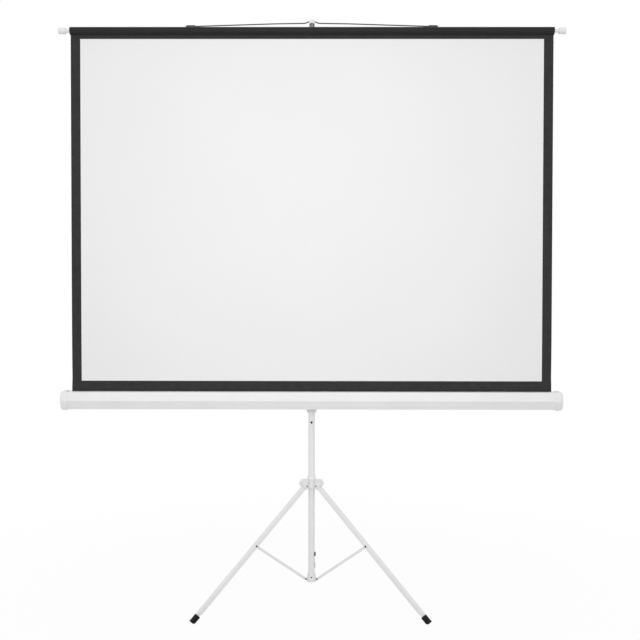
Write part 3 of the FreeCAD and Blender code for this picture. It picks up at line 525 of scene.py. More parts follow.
def pipe(name: str, path: np.ndarray, radius: float, sides: int = 16) -> Piece:
    """Carry a circle along a path and close both ends.

    Args:
        name: The piece's name.
        path: Points by 3, in metres, in one plane or nearly so.
        radius: The wire's radius in metres.
        sides: Points around the wire.

    Returns:
        The new object. Each ring is centre + radius * (cos * side + sin * lift), square to the path.
    """
    tangent = np.gradient(path, axis=0)
    tangent /= np.linalg.norm(tangent, axis=1, keepdims=True)
    plane = np.cross(path[-1] - path[0], path[len(path) // 2] - path[0])
    lift = np.broadcast_to(plane / np.linalg.norm(plane), tangent.shape)
    side = np.cross(tangent, lift)
    side /= np.linalg.norm(side, axis=1, keepdims=True)
    turn = np.linspace(0, 2 * np.pi, sides, endpoint=False)
    rings = path[:, None] + radius * (np.cos(turn)[None, :, None] * side[:, None]
                                      + np.sin(turn)[None, :, None] * lift[:, None])
    return merge(surface(name, closed(rings), around=True))


def rounded_path(corners: np.ndarray, radius: float, steps: int = 8) -> np.ndarray:
    """Round a path's corners with quadratic curves, (1 - s)^2 a + 2 s (1 - s) c + s^2 b.

    Args:
        corners: The path's corners, points by 3.
        radius: How far from its corner a curve starts and ends, where the runs are long enough.
        steps: Points along each curve.

    Returns:
        The rounded path, points by 3.
    """
    points = [corners[:1]]
    for before, corner, after in zip(corners, corners[1:], corners[2:]):
        back = before - corner
        ahead = after - corner
        start = corner + back / np.linalg.norm(back) * min(radius, np.linalg.norm(back) * CORNER_SHARE)
        end = corner + ahead / np.linalg.norm(ahead) * min(radius, np.linalg.norm(ahead) * CORNER_SHARE)
        share = np.linspace(0, 1, steps)[:, None]
        points.append((1 - share) ** 2 * start + 2 * share * (1 - share) * corner + share ** 2 * end)
    points.append(corners[-1:])
    return np.concatenate(points)


def middle_y(node: str) -> float:
    """Give how far back the middle of a CAD node's box lies."""
    low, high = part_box(node)
    return (low.y + high.y) / 2


def belong(piece: Piece, body: str, slot: str, *nodes: str) -> Piece:
    """Give a piece its place in the frame.

    Args:
        piece: The piece.
        body: The body that it rides on.
        slot: The record's slot that it takes its finish from; not used.
        nodes: The CAD nodes that it stands for.

    Returns:
        The same piece.
    """
    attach(piece, body)
    if nodes:
        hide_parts(*nodes)
    return piece


def dress(piece: Piece, *finishes: Material) -> Piece:
    """Give a piece its materials.

    Args:
        piece: The piece.
        finishes: Its materials, in the order of its slots.

    Returns:
        The same piece.
    """
    piece.data.materials.clear()
    for finish in finishes:
        piece.data.materials.append(finish)
    return piece


def cad(*nodes: str, finish: Material) -> None:
    """Dress CAD nodes.

    Args:
        nodes: The nodes' names.
        finish: The material that they all take.
    """
    for node in nodes:
        dress(frame["nodes"][node], finish)


@dataclass
class Screen:
    """The white cloth with its black border, from the turns on the roller up to the batten's hem.

    The hanging cloth is three sheets. The strip under the hem goes down with it, and the upper sheet rides
    on the lower extension. The lower sheet stays with the mast, so it doesn't tear from the upper one where
    the case swivels with the cloth up.
    """

    viewing_width: float = 2.0156
    viewing_bottom: float = 0.9949
    viewing_top: float = 2.4837
    white: Colour = (0.90, 0.90, 0.90)
    border: Colour = (0.033, 0.033, 0.034)
    strip_bottom: float = 2.4855
    gather_height: float = 0.9315
    spare: float = 0.0015
    curl: float = 0.0055
    curl_width: float = 0.11
    curl_start: float = 0.948
    curl_rise: float = 0.06
    curl_height: float = 1.01
    curl_fade: float = 0.09
    slack: float = 0.0007
    slack_start: float = 0.96
    slack_rise: float = 0.2
    slack_fall: float = 0.15
    slack_waves: tuple[tuple[float, float, float], ...] = ((5.1, 1.7, 0.0), (11.0, -2.3, 1.0))
    columns: int = 121
    edge_crowding: float = 1.5
    rows_per_metre: int = 100
    least_rows: int = 4
    thickness: float = 0.0004
    wound_gap: float = 0.0005
    least_turns: float = 1.25
    steps_per_turn: int = 40
    wound_columns: int = 25
    half: float = field(init=False)
    plane: float = field(init=False)
    finishes: tuple[Material, Material] = field(init=False)

    def build(self) -> list[Piece]:
        """Returns:
            The lower, upper and top sheets and the wound cloth.
        """
        low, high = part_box("screen_fabric")
        self.half = high.x
        self.plane = middle_y("screen_fabric")
        half_view = self.viewing_width / 2
        face = Cloth("projection_cloth", colour=self.white, roughness=0.85, sheen=0.06, relief_depth=0.00008,
                     border_colour=self.border,
                     window=(-half_view, half_view, self.viewing_bottom, self.viewing_top))
        self.finishes = (face.material(), BACKING_CLOTH.material())
        travel = {joint["name"]: max(abs(limit) for limit in joint["range_m"]) for joint in frame["joints"]
                  if joint["name"].endswith("extension_slide")}
        lower_slide, upper_slide = "lower_extension_slide", "upper_extension_slide"
        split = self.gather_height + travel[lower_slide] + self.spare
        lower = self.sheet("screen_lower_cloth", low.z, split)
        upper = self.sheet("screen_upper_cloth", split, self.strip_bottom)
        strip = self.sheet("screen_top_strip", self.strip_bottom, high.z)
        for piece, body in ((lower, "mast"), (upper, "lower_extension"), (strip, "upper_extension")):
            belong(piece, body, "screen_fabric", "screen_fabric")
        wound = belong(self.wound(low.z), "roller", "screen_fabric", "fabric_wrap")
        for piece, joint, anchor, end in ((lower, lower_slide, self.gather_height, split),
                                          (upper, upper_slide, split, self.strip_bottom)):
            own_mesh(piece)
        return [lower, upper, strip, wound]

    def sheet(self, name: str, bottom: float, top: float) -> Piece:
        """Make one sheet of the cloth between two heights.

        Its points have x = side * half width, with the columns crowded towards the side edges. Their y is
        the cloth's plane, plus a curl at each side edge that sets in above the case and fades with height,
        plus a faint slack, the mean of a few sine waves. Their z runs straight up.

        Args:
            name: The piece's name.
            bottom: Its lowest height.
            top: Its highest height.

        Returns:
            The dressed and declared sheet.
        """
        rows = max(int((top - bottom) * self.rows_per_metre), self.least_rows)
        height = np.linspace(bottom, top, rows)[:, None]
        side = np.linspace(-1, 1, self.columns)[None, :]
        side = np.sign(side) * (1 - (1 - np.abs(side)) ** self.edge_crowding)
        x = side * self.half
        edge = np.clip((np.abs(x) - (self.half - self.curl_width)) / self.curl_width, 0, 1) ** 2
        rise = np.clip((height - self.curl_start) / self.curl_rise, 0, 1) ** 2
        fall = np.exp(-np.clip(height - self.curl_height, 0, None) / self.curl_fade)
        bend = self.curl * edge * rise * fall
        fade_in = np.clip((height - self.slack_start) / self.slack_rise, 0, 1)
        fade_out = np.clip((self.strip_bottom - height) / self.slack_fall, 0, 1)
        waves = [np.sin(across * side + up * height + shift) for across, up, shift in self.slack_waves]
        wave = self.slack * fade_in * fade_out * sum(waves) / len(waves)
        points = np.stack(np.broadcast_arrays(x, self.plane + bend + wave, height), axis=-1)
        flat = np.stack(np.broadcast_arrays(x, height), axis=-1)
        piece = self.two_sided(surface(name, points[:, ::-1], uv=flat[:, ::-1]))
        return piece

    def wound(self, bottom: float) -> Piece:
        """Wind the cloth's end round the roller, up to where the hanging sheet leaves it.

        Its section is a spiral, r = outer - (outer - inner) t / t_end, with t from 0 at the hanging sheet
        inwards.

        Args:
            bottom: The height at which the hanging sheet leaves the roller.

        Returns:
            The dressed turns.
        """
        low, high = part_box("roller_tube")
        centre_y = middle_y("roller_tube")
        outer = self.plane - centre_y
        inner = (high.z - low.z) / 2 + self.thickness
        turns = max((outer - inner) / self.wound_gap, self.least_turns)
        turn = np.linspace(0, 2 * np.pi * turns, int(self.steps_per_turn * turns))
        radius = outer - (outer - inner) * turn / turn[-1]
        length = np.concatenate([[0], np.cumsum(radius[1:] * np.diff(turn))])
        side = np.linspace(-self.half, self.half, self.wound_columns)[None, :]
        points = np.stack(np.broadcast_arrays(side, (centre_y + radius * np.cos(turn))[:, None],
                                              (bottom - radius * np.sin(turn))[:, None]), axis=-1)
        flat = np.stack(np.broadcast_arrays(side, (bottom - length)[:, None]), axis=-1)
        piece = self.two_sided(surface("screen_wound_cloth", points, uv=flat))
        return piece

    def two_sided(self, piece: Piece) -> Piece:
        """Give a sheet its thickness, its white face and its black back.

        Args:
            piece: The sheet, without thickness.

        Returns:
            The same sheet.
        """
        solid = piece.modifiers.new("thickness", "SOLIDIFY")
        solid.thickness = self.thickness
        solid.offset = 0
        solid.material_offset = 1
        solid.material_offset_rim = 1
        return apply_modifiers(dress(piece, *self.finishes))


@dataclass
class Batten:
    """The dressing of the tube across the top: its sewn hem, the hem's stitching and the bail wire.

    The stitch angles are in radians from the hem's lowest line. The bow shares place the bends of the
    wire's long arms, as shares of its half length and of the rise of its bend.
    """

    pinch: float = 0.0011
    pinch_sharpness: int = 12
    narrowing: float = 0.15
    hem_thickness: float = 0.0006
    hem_sides: int = 57
    hem_rings: int = 241
    ripple: float = 0.006
    ripple_rate: float = 31.0
    ripple_sharpness: int = 4
    drift: float = 0.6
    drift_rate: float = 9.0
    stitch_pitch: float = 0.006
    stitch_half_length: float = 0.0021
    stitch_radius: float = 0.00045
    stitch_rings: int = 5
    stitch_sides: int = 6
    stitch_angles: tuple[float, float] = (0.42, 0.62)
    stitch_lift: float = 1.015
    stitch_margin: float = 0.01
    wire: float = 0.0025
    wire_bend: float = 0.008
    end_length: float = 0.043
    bow_shares: tuple[tuple[float, float], ...] = ((0.585, 0.44), (0.30, 0.82))
    bend_half: float = 0.029
    bend_rise: float = 0.030
    peak_half: float = 0.013
    half: float = field(init=False)
    radius: float = field(init=False)
    centre: Vector = field(init=False)
    girth: float = field(init=False)

    def build(self) -> list[Piece]:
        """Build the hem, its stitching and the bail wire.

        Returns:
            The new pieces.
        """
        low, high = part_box("batten_hem")
        self.half = high.x
        self.centre = (low + high) / 2
        self.radius = (high.z - low.z) / 2
        hem = dress(self.hem(), HEM_CLOTH.material())
        seam = dress(self.stitching(), BLACK_THREAD.material())
        bail = dress(self.bail(), DARK_METAL.material())
        belong(hem, "upper_extension", "black_fabric", "batten_hem")
        belong(seam, "upper_extension", "black_fabric")
        belong(bail, "bail", "dark_metal", "bail_wire")
        return [hem, seam, bail]

    def outline(self, turn: np.ndarray) -> tuple[np.ndarray, np.ndarray]:
        """Give the hem's section: a circle whose underside narrows to a pinch.

        y = r sin(t) sin(t/2)^n and z = -(r + p cos(t/2)^m) cos(t), with n the narrowing and m the pinch's
        sharpness.

        Args:
            turn: The angles t, from 0 at the bottom.

        Returns:
            The section's y and z, about the batten's axis.
        """
        drop = self.radius + self.pinch * np.cos(turn / 2) ** self.pinch_sharpness
        across = self.radius * np.sin(turn) * np.abs(np.sin(turn / 2)) ** self.narrowing
        return across, -drop * np.cos(turn)

    def hem(self) -> Piece:
        """Carry the hem's section along the batten, with a faint ripple where the cloth is pulled.

        The ripple draws the section in by d sin(a x + b sin(c x)) sin(t/2)^k, where that is under 0.

        Returns:
            The hem, with its cloth laid out flat in its UV map.
        """
        turn = np.linspace(0, 2 * np.pi, self.hem_sides)
        along = np.linspace(-self.half, self.half, self.hem_rings)
        across, up = self.outline(turn)
        sway = np.sin(self.ripple_rate * along + self.drift * np.sin(self.drift_rate * along))
        ripple = 1 + self.ripple * sway[:, None] * np.sin(turn / 2)[None] ** self.ripple_sharpness
        x = np.broadcast_to(along[:, None], (along.size, turn.size))
        y = self.centre.y + across[None] * np.minimum(ripple, 1)
        z = self.centre.z + up[None] * np.minimum(ripple, 1)
        points = np.stack([x, y, z], axis=-1)
        steps = np.hypot(np.diff(across), np.diff(up))
        girth = np.concatenate([[0], np.cumsum(steps)])
        self.girth = float(girth[-1])
        flat = np.stack([x, np.broadcast_to(girth[None], x.shape)], axis=-1)
        piece = surface("batten_hem_cloth", points[:, ::-1], uv=flat[:, ::-1])
        solid = piece.modifiers.new("thickness", "SOLIDIFY")
        solid.thickness = self.hem_thickness
        solid.offset = -1
        return apply_modifiers(piece)

    def stitching(self) -> Piece:
        """Lay two rows of stitches along the hem's lower front, each a short slug of thread.

        A slug is an ellipsoid, x = a cos(u) and (y, z) = b sin(u) (cos(v), sin(v)).

        Returns:
            All the stitches as one piece: the slug repeated at an even pitch.
        """
        lat = np.linspace(0, np.pi, self.stitch_rings)[:, None]
        lon = np.linspace(0, 2 * np.pi, self.stitch_sides, endpoint=False)[None]
        slug = np.stack(np.broadcast_arrays(self.stitch_half_length * np.cos(lat),
                                            self.stitch_radius * np.sin(lat) * np.cos(lon),
                                            self.stitch_radius * np.sin(lat) * np.sin(lon)), axis=-1)
        reach = self.half - self.stitch_margin
        x = np.arange(-reach, reach, self.stitch_pitch)
        across, up = self.outline(-np.array(self.stitch_angles) % (2 * np.pi))
        rows = np.broadcast_arrays(x[None], (self.centre.y + across * self.stitch_lift)[:, None],
                                   (self.centre.z + up * self.stitch_lift)[:, None])
        places = np.stack(rows, axis=-1).reshape(-1, 3)
        points = places[:, None, None] + slug[None]
        quads = grid_faces(*slug.shape[:2], around=True)
        first = np.arange(len(places))[:, None, None] * lat.size * lon.size
        mesh = bpy.data.meshes.new("hem_stitching")
        mesh.from_pydata(points.reshape(-1, 3).tolist(), [], (first + quads[None]).reshape(-1, 4).tolist())
        return merge(put_in_scene("hem_stitching", mesh))

    def bail(self) -> Piece:
        """Bend the bail wire: level ends in the eyes, long arms that bow a little, and a peak in the hook.

        Returns:
            The wire, in the plane that leans back from the eyes to the hook.
        """
        low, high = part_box("bail_wire")
        half = high.x
        axis_y = low.y + self.wire
        axis_z = low.z + self.wire
        reach = high.y - low.y - 2 * self.wire
        rise = high.z - low.z - 2 * self.wire
        lever = math.hypot(reach, rise)
        bow = [(out * half, up * self.bend_rise) for out, up in self.bow_shares]
        side = np.array([(half, 0), (half - self.end_length, 0), *bow, (self.bend_half, self.bend_rise),
                         (self.peak_half, lever)])
        route = np.concatenate([side * [-1, 1], side[::-1]])
        places = np.stack([route[:, 0], axis_y + route[:, 1] * reach / lever,
                           axis_z + route[:, 1] * rise / lever], axis=-1)
        return pipe("bail_bent_wire", rounded_path(places, self.wire_bend), self.wire)


@dataclass
class Case:
    """The six-sided case: painted shell, domed end caps with screws, and soft beads along the slot.

    The slope share is how much of the shell's half depth each slanted wall takes. The rim scales are the
    cap's scale at the inner and the outer edge of its rim and past its rounding, a step further on. The
    screw's profile is radius and height, from the middle of its dish to under its rim.
    """

    corner: float = 0.007
    corner_steps: int = 7
    slope_share: float = 18 / 44
    outline_points: int = 96
    rings: int = 22
    side_power: float = 5.0
    tip_power: float = 3.2
    dome_share: float = 0.70
    step_share: float = 0.06
    rim_scales: tuple[float, float, float] = (0.90, 0.985, 1.0)
    screw_profile: tuple[tuple[float, float], ...] = (
        (0.0, 0.0006), (0.0012, 0.0004), (0.0016, 0.0010),
        (0.0028, 0.0010), (0.0035, 0.0003), (0.0035, -0.0015),
    )
    screw_places: tuple[float, float] = (-0.014, 0.012)
    screw_inset: float = 0.004
    screw_sides: int = 24
    bead_radius: float = 0.0013
    bead_offset: float = 0.0032
    bead_sink: float = 0.0006
    bead_overrun: float = 0.003
    bead_sides: int = 14
    bead_rings: int = 60

    def build(self) -> list[Piece]:
        """Build the end caps, their screws and the slot's beads, and dress the shell and the roller.

        Returns:
            The new pieces.
        """
        plastic = WHITE_PLASTIC.material()
        steel = PLATED_STEEL.material()
        cad("case_shell", finish=WHITE_PAINT.material())
        cad("case_saddle", "case_pivot_pin", "roller_tube", "roller_plugs", "roller_spring", finish=steel)
        pieces = []
        for side, sign in (("left", -1), ("right", 1)):
            cap = dress(self.cap(side, sign), plastic)
            belong(cap, "case", "white_plastic", f"case_cap_{side}")
            heads = dress(self.screws(side, sign), steel)
            belong(heads, "case", "steel")
            pieces += [cap, heads]
        beads = dress(self.slot_beads(), RUBBER.material())
        return [*pieces, belong(beads, "case", "black_rubber")]

    def section(self, node: str) -> np.ndarray:
        """Sample a cap's six-sided outline with rounded corners about its own centre.

        The rounding is a quadratic curve at each corner, and the points are then spread evenly.

        Args:
            node: The cap's CAD node.

        Returns:
            The outline's y and z, points by 2.
        """
        low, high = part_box(node)
        depth, height = (high.y - low.y) / 2, (high.z - low.z) / 2
        shell_low, shell_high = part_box("case_shell")
        flat = depth - (shell_high.y - shell_low.y) / 2 * self.slope_share
        corners = np.array([[-depth, 0], [-flat, height], [flat, height], [depth, 0], [flat, -height],
                            [-flat, -height]])
        ahead = np.roll(corners, -1, axis=0) - corners
        back = np.roll(corners, 1, axis=0) - corners
        start = corners + back / np.linalg.norm(back, axis=1, keepdims=True) * self.corner
        end = corners + ahead / np.linalg.norm(ahead, axis=1, keepdims=True) * self.corner
        share = np.linspace(0, 1, self.corner_steps)[None, :, None]
        curve = (1 - share) ** 2 * start[:, None] + 2 * share * (1 - share) * corners[:, None]
        loop = (curve + share ** 2 * end[:, None]).reshape(-1, 2)
        loop = np.concatenate([loop, loop[:1]])
        length = np.concatenate([[0], np.cumsum(np.linalg.norm(np.diff(loop, axis=0), axis=1))])
        even = np.linspace(0, length[-1], self.outline_points, endpoint=False)
        return np.stack([np.interp(even, length, loop[:, 0]), np.interp(even, length, loop[:, 1])], axis=-1)

    def cap(self, side: str, sign: int) -> Piece:
        """Close one end of the case with a domed cap.

        Along its dome the section shrinks by (1 - t^q)^(1/p), with t from 0 where the dome begins to 1 at
        the tip, q the tip's power and p the side's.

        Args:
            side: The end's name.
            sign: The way that the end points along X.

        Returns:
            The cap.
        """
        node = f"case_cap_{side}"
        low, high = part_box(node)
        centre = (low + high) / 2
        outline = self.section(node)
        rim, tip = (low.x, high.x) if sign > 0 else (high.x, low.x)
        turn = np.linspace(0, np.pi / 2, self.rings)
        share = 1 - self.dome_share + self.dome_share * np.sin(turn) ** (2 / self.tip_power)
        share = np.concatenate([[0, 0, self.step_share], share])
        scale = np.concatenate([self.rim_scales, np.cos(turn) ** (2 / self.side_power)])
        place = rim + (tip - rim) * share
        rings = np.stack([
            np.broadcast_to(place[:, None], (place.size, len(outline))),
            centre.y + scale[:, None] * outline[None, :, 0],
            centre.z + scale[:, None] * outline[None, :, 1],
        ], axis=-1)
        return merge(surface(f"case_{side}_domed_cap", closed(rings), around=True))

    def screws(self, side: str, sign: int) -> Piece:
        """Set two dished screw heads in the top of one end cap.

        Each head turns a profile of radius and height about an upright axis.

        Args:
            side: The end's name.
            sign: The way that the end points along X.

        Returns:
            The two heads as one piece.
        """
        node = f"case_cap_{side}"
        low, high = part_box(node)
        middle = (low.x + high.x) / 2 - sign * self.screw_inset
        profile = np.array(self.screw_profile)
        turn = np.linspace(0, 2 * np.pi, self.screw_sides, endpoint=False)
        heads = []
        for offset in self.screw_places:
            rings = np.stack([
                middle + profile[:, :1] * np.cos(turn)[None],
                middle_y(node) + offset + profile[:, :1] * np.sin(turn)[None],
                np.broadcast_to(high.z + profile[:, 1:], (len(profile), turn.size)),
            ], axis=-1)
            heads.append(merge(surface(f"cap_screw_{side}_{len(heads)}", closed(rings), around=True)))
        return join(f"case_{side}_cap_screws", heads)

    def slot_beads(self) -> Piece:
        """Line the slot with a soft dark bead on each side of the cloth.

        Each bead is a straight round rod along the slot's edge, sunk a little into the shell's top.

        Returns:
            The two beads as one piece.
        """
        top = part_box("case_shell")[1].z
        plane = middle_y("screen_fabric")
        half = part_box("screen_fabric")[1].x + self.bead_overrun
        x = np.linspace(-half, half, self.bead_rings)[:, None]
        turn = np.linspace(0, 2 * np.pi, self.bead_sides, endpoint=False)[None]
        beads = []
        for offset in (-self.bead_offset, self.bead_offset):
            y = plane + offset + self.bead_radius * np.cos(turn)
            z = top - self.bead_sink + self.bead_radius * np.sin(turn)
            rings = np.stack(np.broadcast_arrays(x, y, z), axis=-1)
            beads.append(merge(surface(f"slot_bead_{len(beads)}", closed(rings), around=True)))
        return join("case_slot_beads", beads)


@dataclass
class Pole:
    """The telescoping pole, its collars, knobs, button, clamp block and hook, and the batten's fittings.

    All of them are CAD nodes, which only take their finish here.
    """

    def build(self) -> list[Piece]:
        """Dress the pole's CAD nodes.

        Returns:
            An empty list, because nothing is added to them.
        """
        cad("tripod_tube", "mast_tube", "lower_extension_tube", "upper_extension_tube",
            finish=WHITE_PAINT.material())
        cad("base_casting", "tube_top_collar", "hub", "mast_collar", "lower_extension_collar",
            "mast_lock_knob", "extension_lock_knob", "case_clamp_block", "hook_cap",
            "batten_end_knob_left", "batten_end_knob_right", finish=WHITE_PLASTIC.material())
        cad("base_screws", "bail_eyes", finish=DARK_METAL.material())
        cad("pole_bumper", "height_button", "bail_keeper", finish=BLACK_PLASTIC.material())
        cad("batten_tube", finish=PLATED_STEEL.material())
        return []


@dataclass
class Leg:
    """One leg: dressed channel, cap and brace, and a ribbed rubber foot cut flat where it stands.

    The angle is in degrees from the upright, and the length runs from the pivot to the foot's tip. Shares
    are of the foot's length.
    """

    side: str
    azimuth: float
    angle: float = 46.0
    length: float = 0.755
    foot_length: float = 0.038
    half_width: float = 0.011
    squareness: float = 5.5
    foot_sides: int = 64
    foot_rings: int = 70
    grooves: int = 4
    groove_depth: float = 0.0011
    groove_sharpness: int = 8
    plain_share: float = 0.12
    groove_margin: float = 0.02
    end_narrowing: float = 0.10
    top_round_share: float = 0.05
    top_round_power: float = 0.5
    tip_round_share: float = 0.04
    tip_round_power: float = 0.35

    def build(self) -> list[Piece]:
        """Dress the leg and build its foot.

        Returns:
            The rubber foot.
        """
        cad(f"leg_{self.side}_channel", f"brace_{self.side}_channel", finish=WHITE_PAINT.material())
        cad(f"leg_{self.side}_cap", f"leg_{self.side}_foot_plug", finish=WHITE_PLASTIC.material())
        # The pivot pins take the mid grey rivet finish, which is painted shade at the hub.
        cad(f"leg_{self.side}_pin", finish=RIVET_GREY_FOR_PAINTED_SHADE.material())
        cad(f"leg_{self.side}_brace_pin", f"brace_{self.side}_rivets", finish=DARK_METAL.material())
        foot = dress(self.foot(), RUBBER.material())
        return [belong(foot, f"leg_{self.side}", "black_rubber", f"leg_{self.side}_foot")]

    def foot_widths(self, share: np.ndarray) -> np.ndarray:
        """Give the foot's half width along its length.

        It dips by a narrow cosine, max(cos(2 pi n m), 0)^k, at each groove, with m from 0 to 1 between the
        plain ends, and narrows at both ends of the foot by a power of the distance from the end.

        Args:
            share: Places along the foot, from 0 at its top to 1 at its tip.

        Returns:
            The half width at each place, in metres.
        """
        middle = np.clip((share - self.plain_share) / (1 - 2 * self.plain_share), 0, 1)
        grooved = (middle > self.groove_margin) * (middle < 1 - self.groove_margin)
        groove = np.maximum(np.cos(2 * np.pi * self.grooves * middle), 0) ** self.groove_sharpness * grooved
        top = np.minimum(share / self.top_round_share, 1) ** self.top_round_power
        tip = np.minimum((1 - share) / self.tip_round_share, 1) ** self.tip_round_power
        narrow = 1 - self.end_narrowing + self.end_narrowing * np.clip(top * tip, 0, 1)
        return (self.half_width - self.groove_depth * groove) * narrow

    def foot(self) -> Piece:
        """Carry a rounded square down the leg's end, with shallow grooves, and cut it level at the floor.

        The section is |u|^n + |v|^n = w^n. The foot is worked out in the plane of a leg that points along X,
        and then turned about the pole.

        Returns:
            The rubber foot.
        """
        tilt = math.radians(self.angle)
        along = np.array([math.sin(tilt), 0, -math.cos(tilt)])
        outward = np.array([math.cos(tilt), 0, math.sin(tilt)])
        sideways = np.array([0, 1, 0])
        pole_y = middle_y("tripod_tube")
        pin_low, pin_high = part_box(f"leg_{self.side}_pin")
        pin = (pin_low + pin_high) / 2
        pivot = np.array([math.hypot(pin.x, pin.y - pole_y), 0, pin.z])
        turn = np.linspace(0, 2 * np.pi, self.foot_sides, endpoint=False)
        u = np.sign(np.cos(turn)) * np.abs(np.cos(turn)) ** (2 / self.squareness)
        v = np.sign(np.sin(turn)) * np.abs(np.sin(turn)) ** (2 / self.squareness)
        share = np.linspace(0, 1, self.foot_rings)
        width = self.foot_widths(share)[:, None]
        reach = self.length - self.foot_length * (1 - share)
        rings = (pivot + reach[:, None, None] * along + (width * u)[..., None] * sideways
                 + (width * v)[..., None] * outward)
        spin = math.radians(self.azimuth)
        turned = rings @ np.array([[math.cos(spin), math.sin(spin), 0], [-math.sin(spin), math.cos(spin), 0],
                                   [0, 0, 1]])
        turned[..., 1] += pole_y
        return cut_flat(merge(surface(f"leg_{self.side}_rubber_foot", closed(turned), around=True)), 0.0)


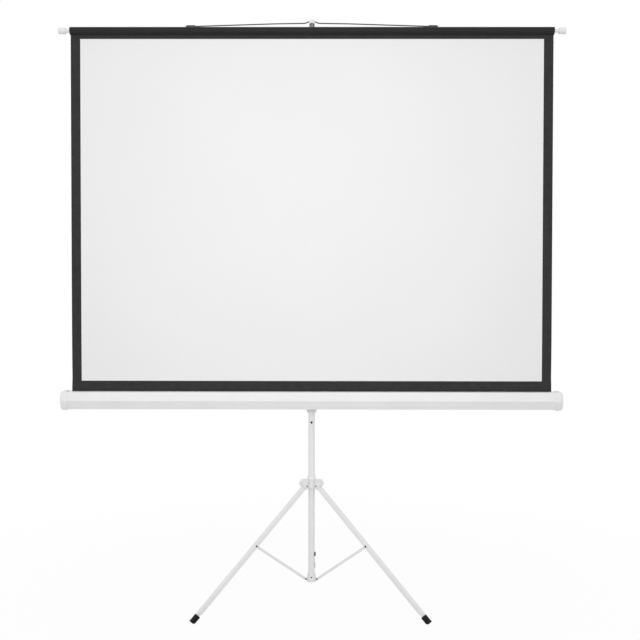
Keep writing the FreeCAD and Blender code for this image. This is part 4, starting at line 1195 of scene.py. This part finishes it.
@dataclass
class Studio:
    """A white room with one soft lamp, and a camera where the photograph was taken from.

    Angles are in degrees. The camera's distance is from the pole's axis, and its height from the floor.
    """

    camera_distance: float = 4.381
    camera_height: float = 1.3604
    camera_side: float = 0.0584
    yaw: float = 0.284
    pitch: float = -1.302
    roll: float = 0.069
    focal_pixels: float = 988.4
    picture_pixels: float = 640.0
    sensor: float = 36.0
    room_light: float = 0.78
    lamp_place: tuple[float, float, float] = (-0.15, -5.4, 2.3)
    lamp_target: tuple[float, float, float] = (-0.05, -0.1, 1.85)
    lamp_size: float = 1.6
    lamp_power: float = 11.0
    lamp_spread: float = 62.0
    floor_reach: float = 14.0
    floor_drop: float = 0.0002
    floor_grey: float = 0.70
    floor_roughness: float = 0.9
    near_white: float = 0.96
    fade_start: float = 0.5
    fade_end: float = 3.0

    def build(self) -> None:
        """Set the colour management, world, floor, lamp and camera."""
        scene = bpy.context.scene
        scene.view_settings.view_transform = "Standard"
        self.world(scene)
        self.floor()
        self.lamp(scene)
        self.camera(scene)

    def world(self, scene: bpy.types.Scene) -> None:
        """Light the room evenly, and show it white to the camera, in gloss and through glass.

        Args:
            scene: The scene that the world lights.
        """
        world = bpy.data.worlds.new("white_room")
        scene.world = world
        world.use_nodes = True
        tree = world.node_tree
        tree.nodes.clear()
        soft = tree.nodes.new("ShaderNodeBackground")
        soft.inputs["Strength"].default_value = self.room_light
        white = tree.nodes.new("ShaderNodeBackground")
        for node in (soft, white):
            node.inputs["Color"].default_value = (1, 1, 1, 1)
        mix = tree.nodes.new("ShaderNodeMixShader")
        tree.links.new(self.seen(tree), mix.inputs["Fac"])
        tree.links.new(soft.outputs["Background"], mix.inputs[1])
        tree.links.new(white.outputs["Background"], mix.inputs[2])
        output = tree.nodes.new("ShaderNodeOutputWorld")
        tree.links.new(mix.outputs["Shader"], output.inputs["Surface"])

    def floor(self) -> None:
        """Lay a wide pale floor that keeps the object's soft shadow and turns white further out.

        To the camera, in gloss and through glass it is w + (1 - w) * the lit floor, with w rising from
        near_white to 1 with the distance from the middle.
        """
        x, y = np.meshgrid([-self.floor_reach, self.floor_reach], [-self.floor_reach, self.floor_reach],
                           indexing="ij")
        floor = surface("studio_floor", np.stack([x, y, np.full_like(x, -self.floor_drop)], axis=-1))
        material = bpy.data.materials.new("pale_studio_floor")
        material.use_nodes = True
        tree = material.node_tree
        shader = tree.nodes["Principled BSDF"]
        shader.inputs["Base Color"].default_value = (self.floor_grey, self.floor_grey, self.floor_grey, 1)
        shader.inputs["Roughness"].default_value = self.floor_roughness
        shader.inputs["Specular IOR Level"].default_value = 0.0
        place = tree.nodes.new("ShaderNodeTexCoord")
        distance = tree.nodes.new("ShaderNodeVectorMath")
        distance.operation = "LENGTH"
        tree.links.new(place.outputs["Object"], distance.inputs[0])
        fade = tree.nodes.new("ShaderNodeMapRange")
        fade.interpolation_type = "SMOOTHSTEP"
        fade.inputs["From Min"].default_value = self.fade_start
        fade.inputs["From Max"].default_value = self.fade_end
        fade.inputs["To Min"].default_value = self.near_white
        tree.links.new(distance.outputs["Value"], fade.inputs["Value"])
        white = tree.nodes.new("ShaderNodeEmission")
        mix = tree.nodes.new("ShaderNodeMixShader")
        shown = calculate(tree, "MULTIPLY", self.seen(tree), fade.outputs["Result"])
        tree.links.new(shown, mix.inputs["Fac"])
        tree.links.new(shader.outputs["BSDF"], mix.inputs[1])
        tree.links.new(white.outputs["Emission"], mix.inputs[2])
        tree.links.new(mix.outputs["Shader"], tree.nodes["Material Output"].inputs["Surface"])
        dress(floor, material)

    @staticmethod
    def seen(tree: Tree) -> Socket:
        """Tell the rays that show a surface from those that light it.

        Args:
            tree: The nodes of a material or a world.

        Returns:
            1 for rays from the camera, in gloss and through glass, and 0 for the rest.
        """
        path = tree.nodes.new("ShaderNodeLightPath")
        sight = calculate(tree, "MAXIMUM", path.outputs["Is Camera Ray"], path.outputs["Is Glossy Ray"])
        return calculate(tree, "MAXIMUM", sight, path.outputs["Is Transmission Ray"])

    def lamp(self, scene: bpy.types.Scene) -> None:
        """Hang a square soft lamp that faces the screen, with a grid on its front that narrows its light.

        Args:
            scene: The scene that it hangs in.
        """
        light = bpy.data.lights.new("key_lamp", "AREA")
        light.size = self.lamp_size
        light.energy = self.lamp_power
        light.spread = math.radians(self.lamp_spread)
        holder = bpy.data.objects.new("key_lamp", light)
        scene.collection.objects.link(holder)
        way = Vector(self.lamp_target) - Vector(self.lamp_place)
        turn = way.to_track_quat("-Z", "Y").to_matrix().to_4x4()
        holder.matrix_world = Matrix.Translation(self.lamp_place) @ turn

    def camera(self, scene: bpy.types.Scene) -> None:
        """Set the camera up in front of the pole, with its lens worked out from the picture's own frame.

        Args:
            scene: The scene that it looks at.
        """
        camera = bpy.data.cameras.new("photo_camera")
        camera.sensor_width = self.sensor
        camera.lens = self.focal_pixels / self.picture_pixels * self.sensor
        eye = bpy.data.objects.new("photo_camera", camera)
        scene.collection.objects.link(eye)
        place = Vector((self.camera_side, middle_y("tripod_tube") - self.camera_distance, self.camera_height))
        look = (Matrix.Rotation(math.radians(self.yaw), 4, "Z")
                @ Matrix.Rotation(math.radians(90 + self.pitch), 4, "X")
                @ Matrix.Rotation(math.radians(self.roll), 4, "Z"))
        eye.matrix_world = Matrix.Translation(place) @ look
        scene.camera = eye


def report(label: str, pieces: Sequence[Piece]) -> None:
    """Log a sub-assembly and each of its new pieces.

    Args:
        label: The sub-assembly's name.
        pieces: The new pieces, if it has any.
    """
    log.info("%s: %d new pieces", label, len(pieces))
    for piece in pieces:
        triangles = sum(len(polygon.vertices) - 2 for polygon in piece.data.polygons)
        log.info("  %s: %d triangles", piece.name, triangles)


def main() -> None:
    """Build the screen from the top down, then the room."""
    report("screen", Screen().build())
    report("batten", Batten().build())
    report("case", Case().build())
    report("pole", Pole().build())
    for side, azimuth in LEG_AZIMUTHS.items():
        report(f"{side} leg", Leg(side, azimuth).build())
    Studio().build()


if __name__ == "__main__":
    main()
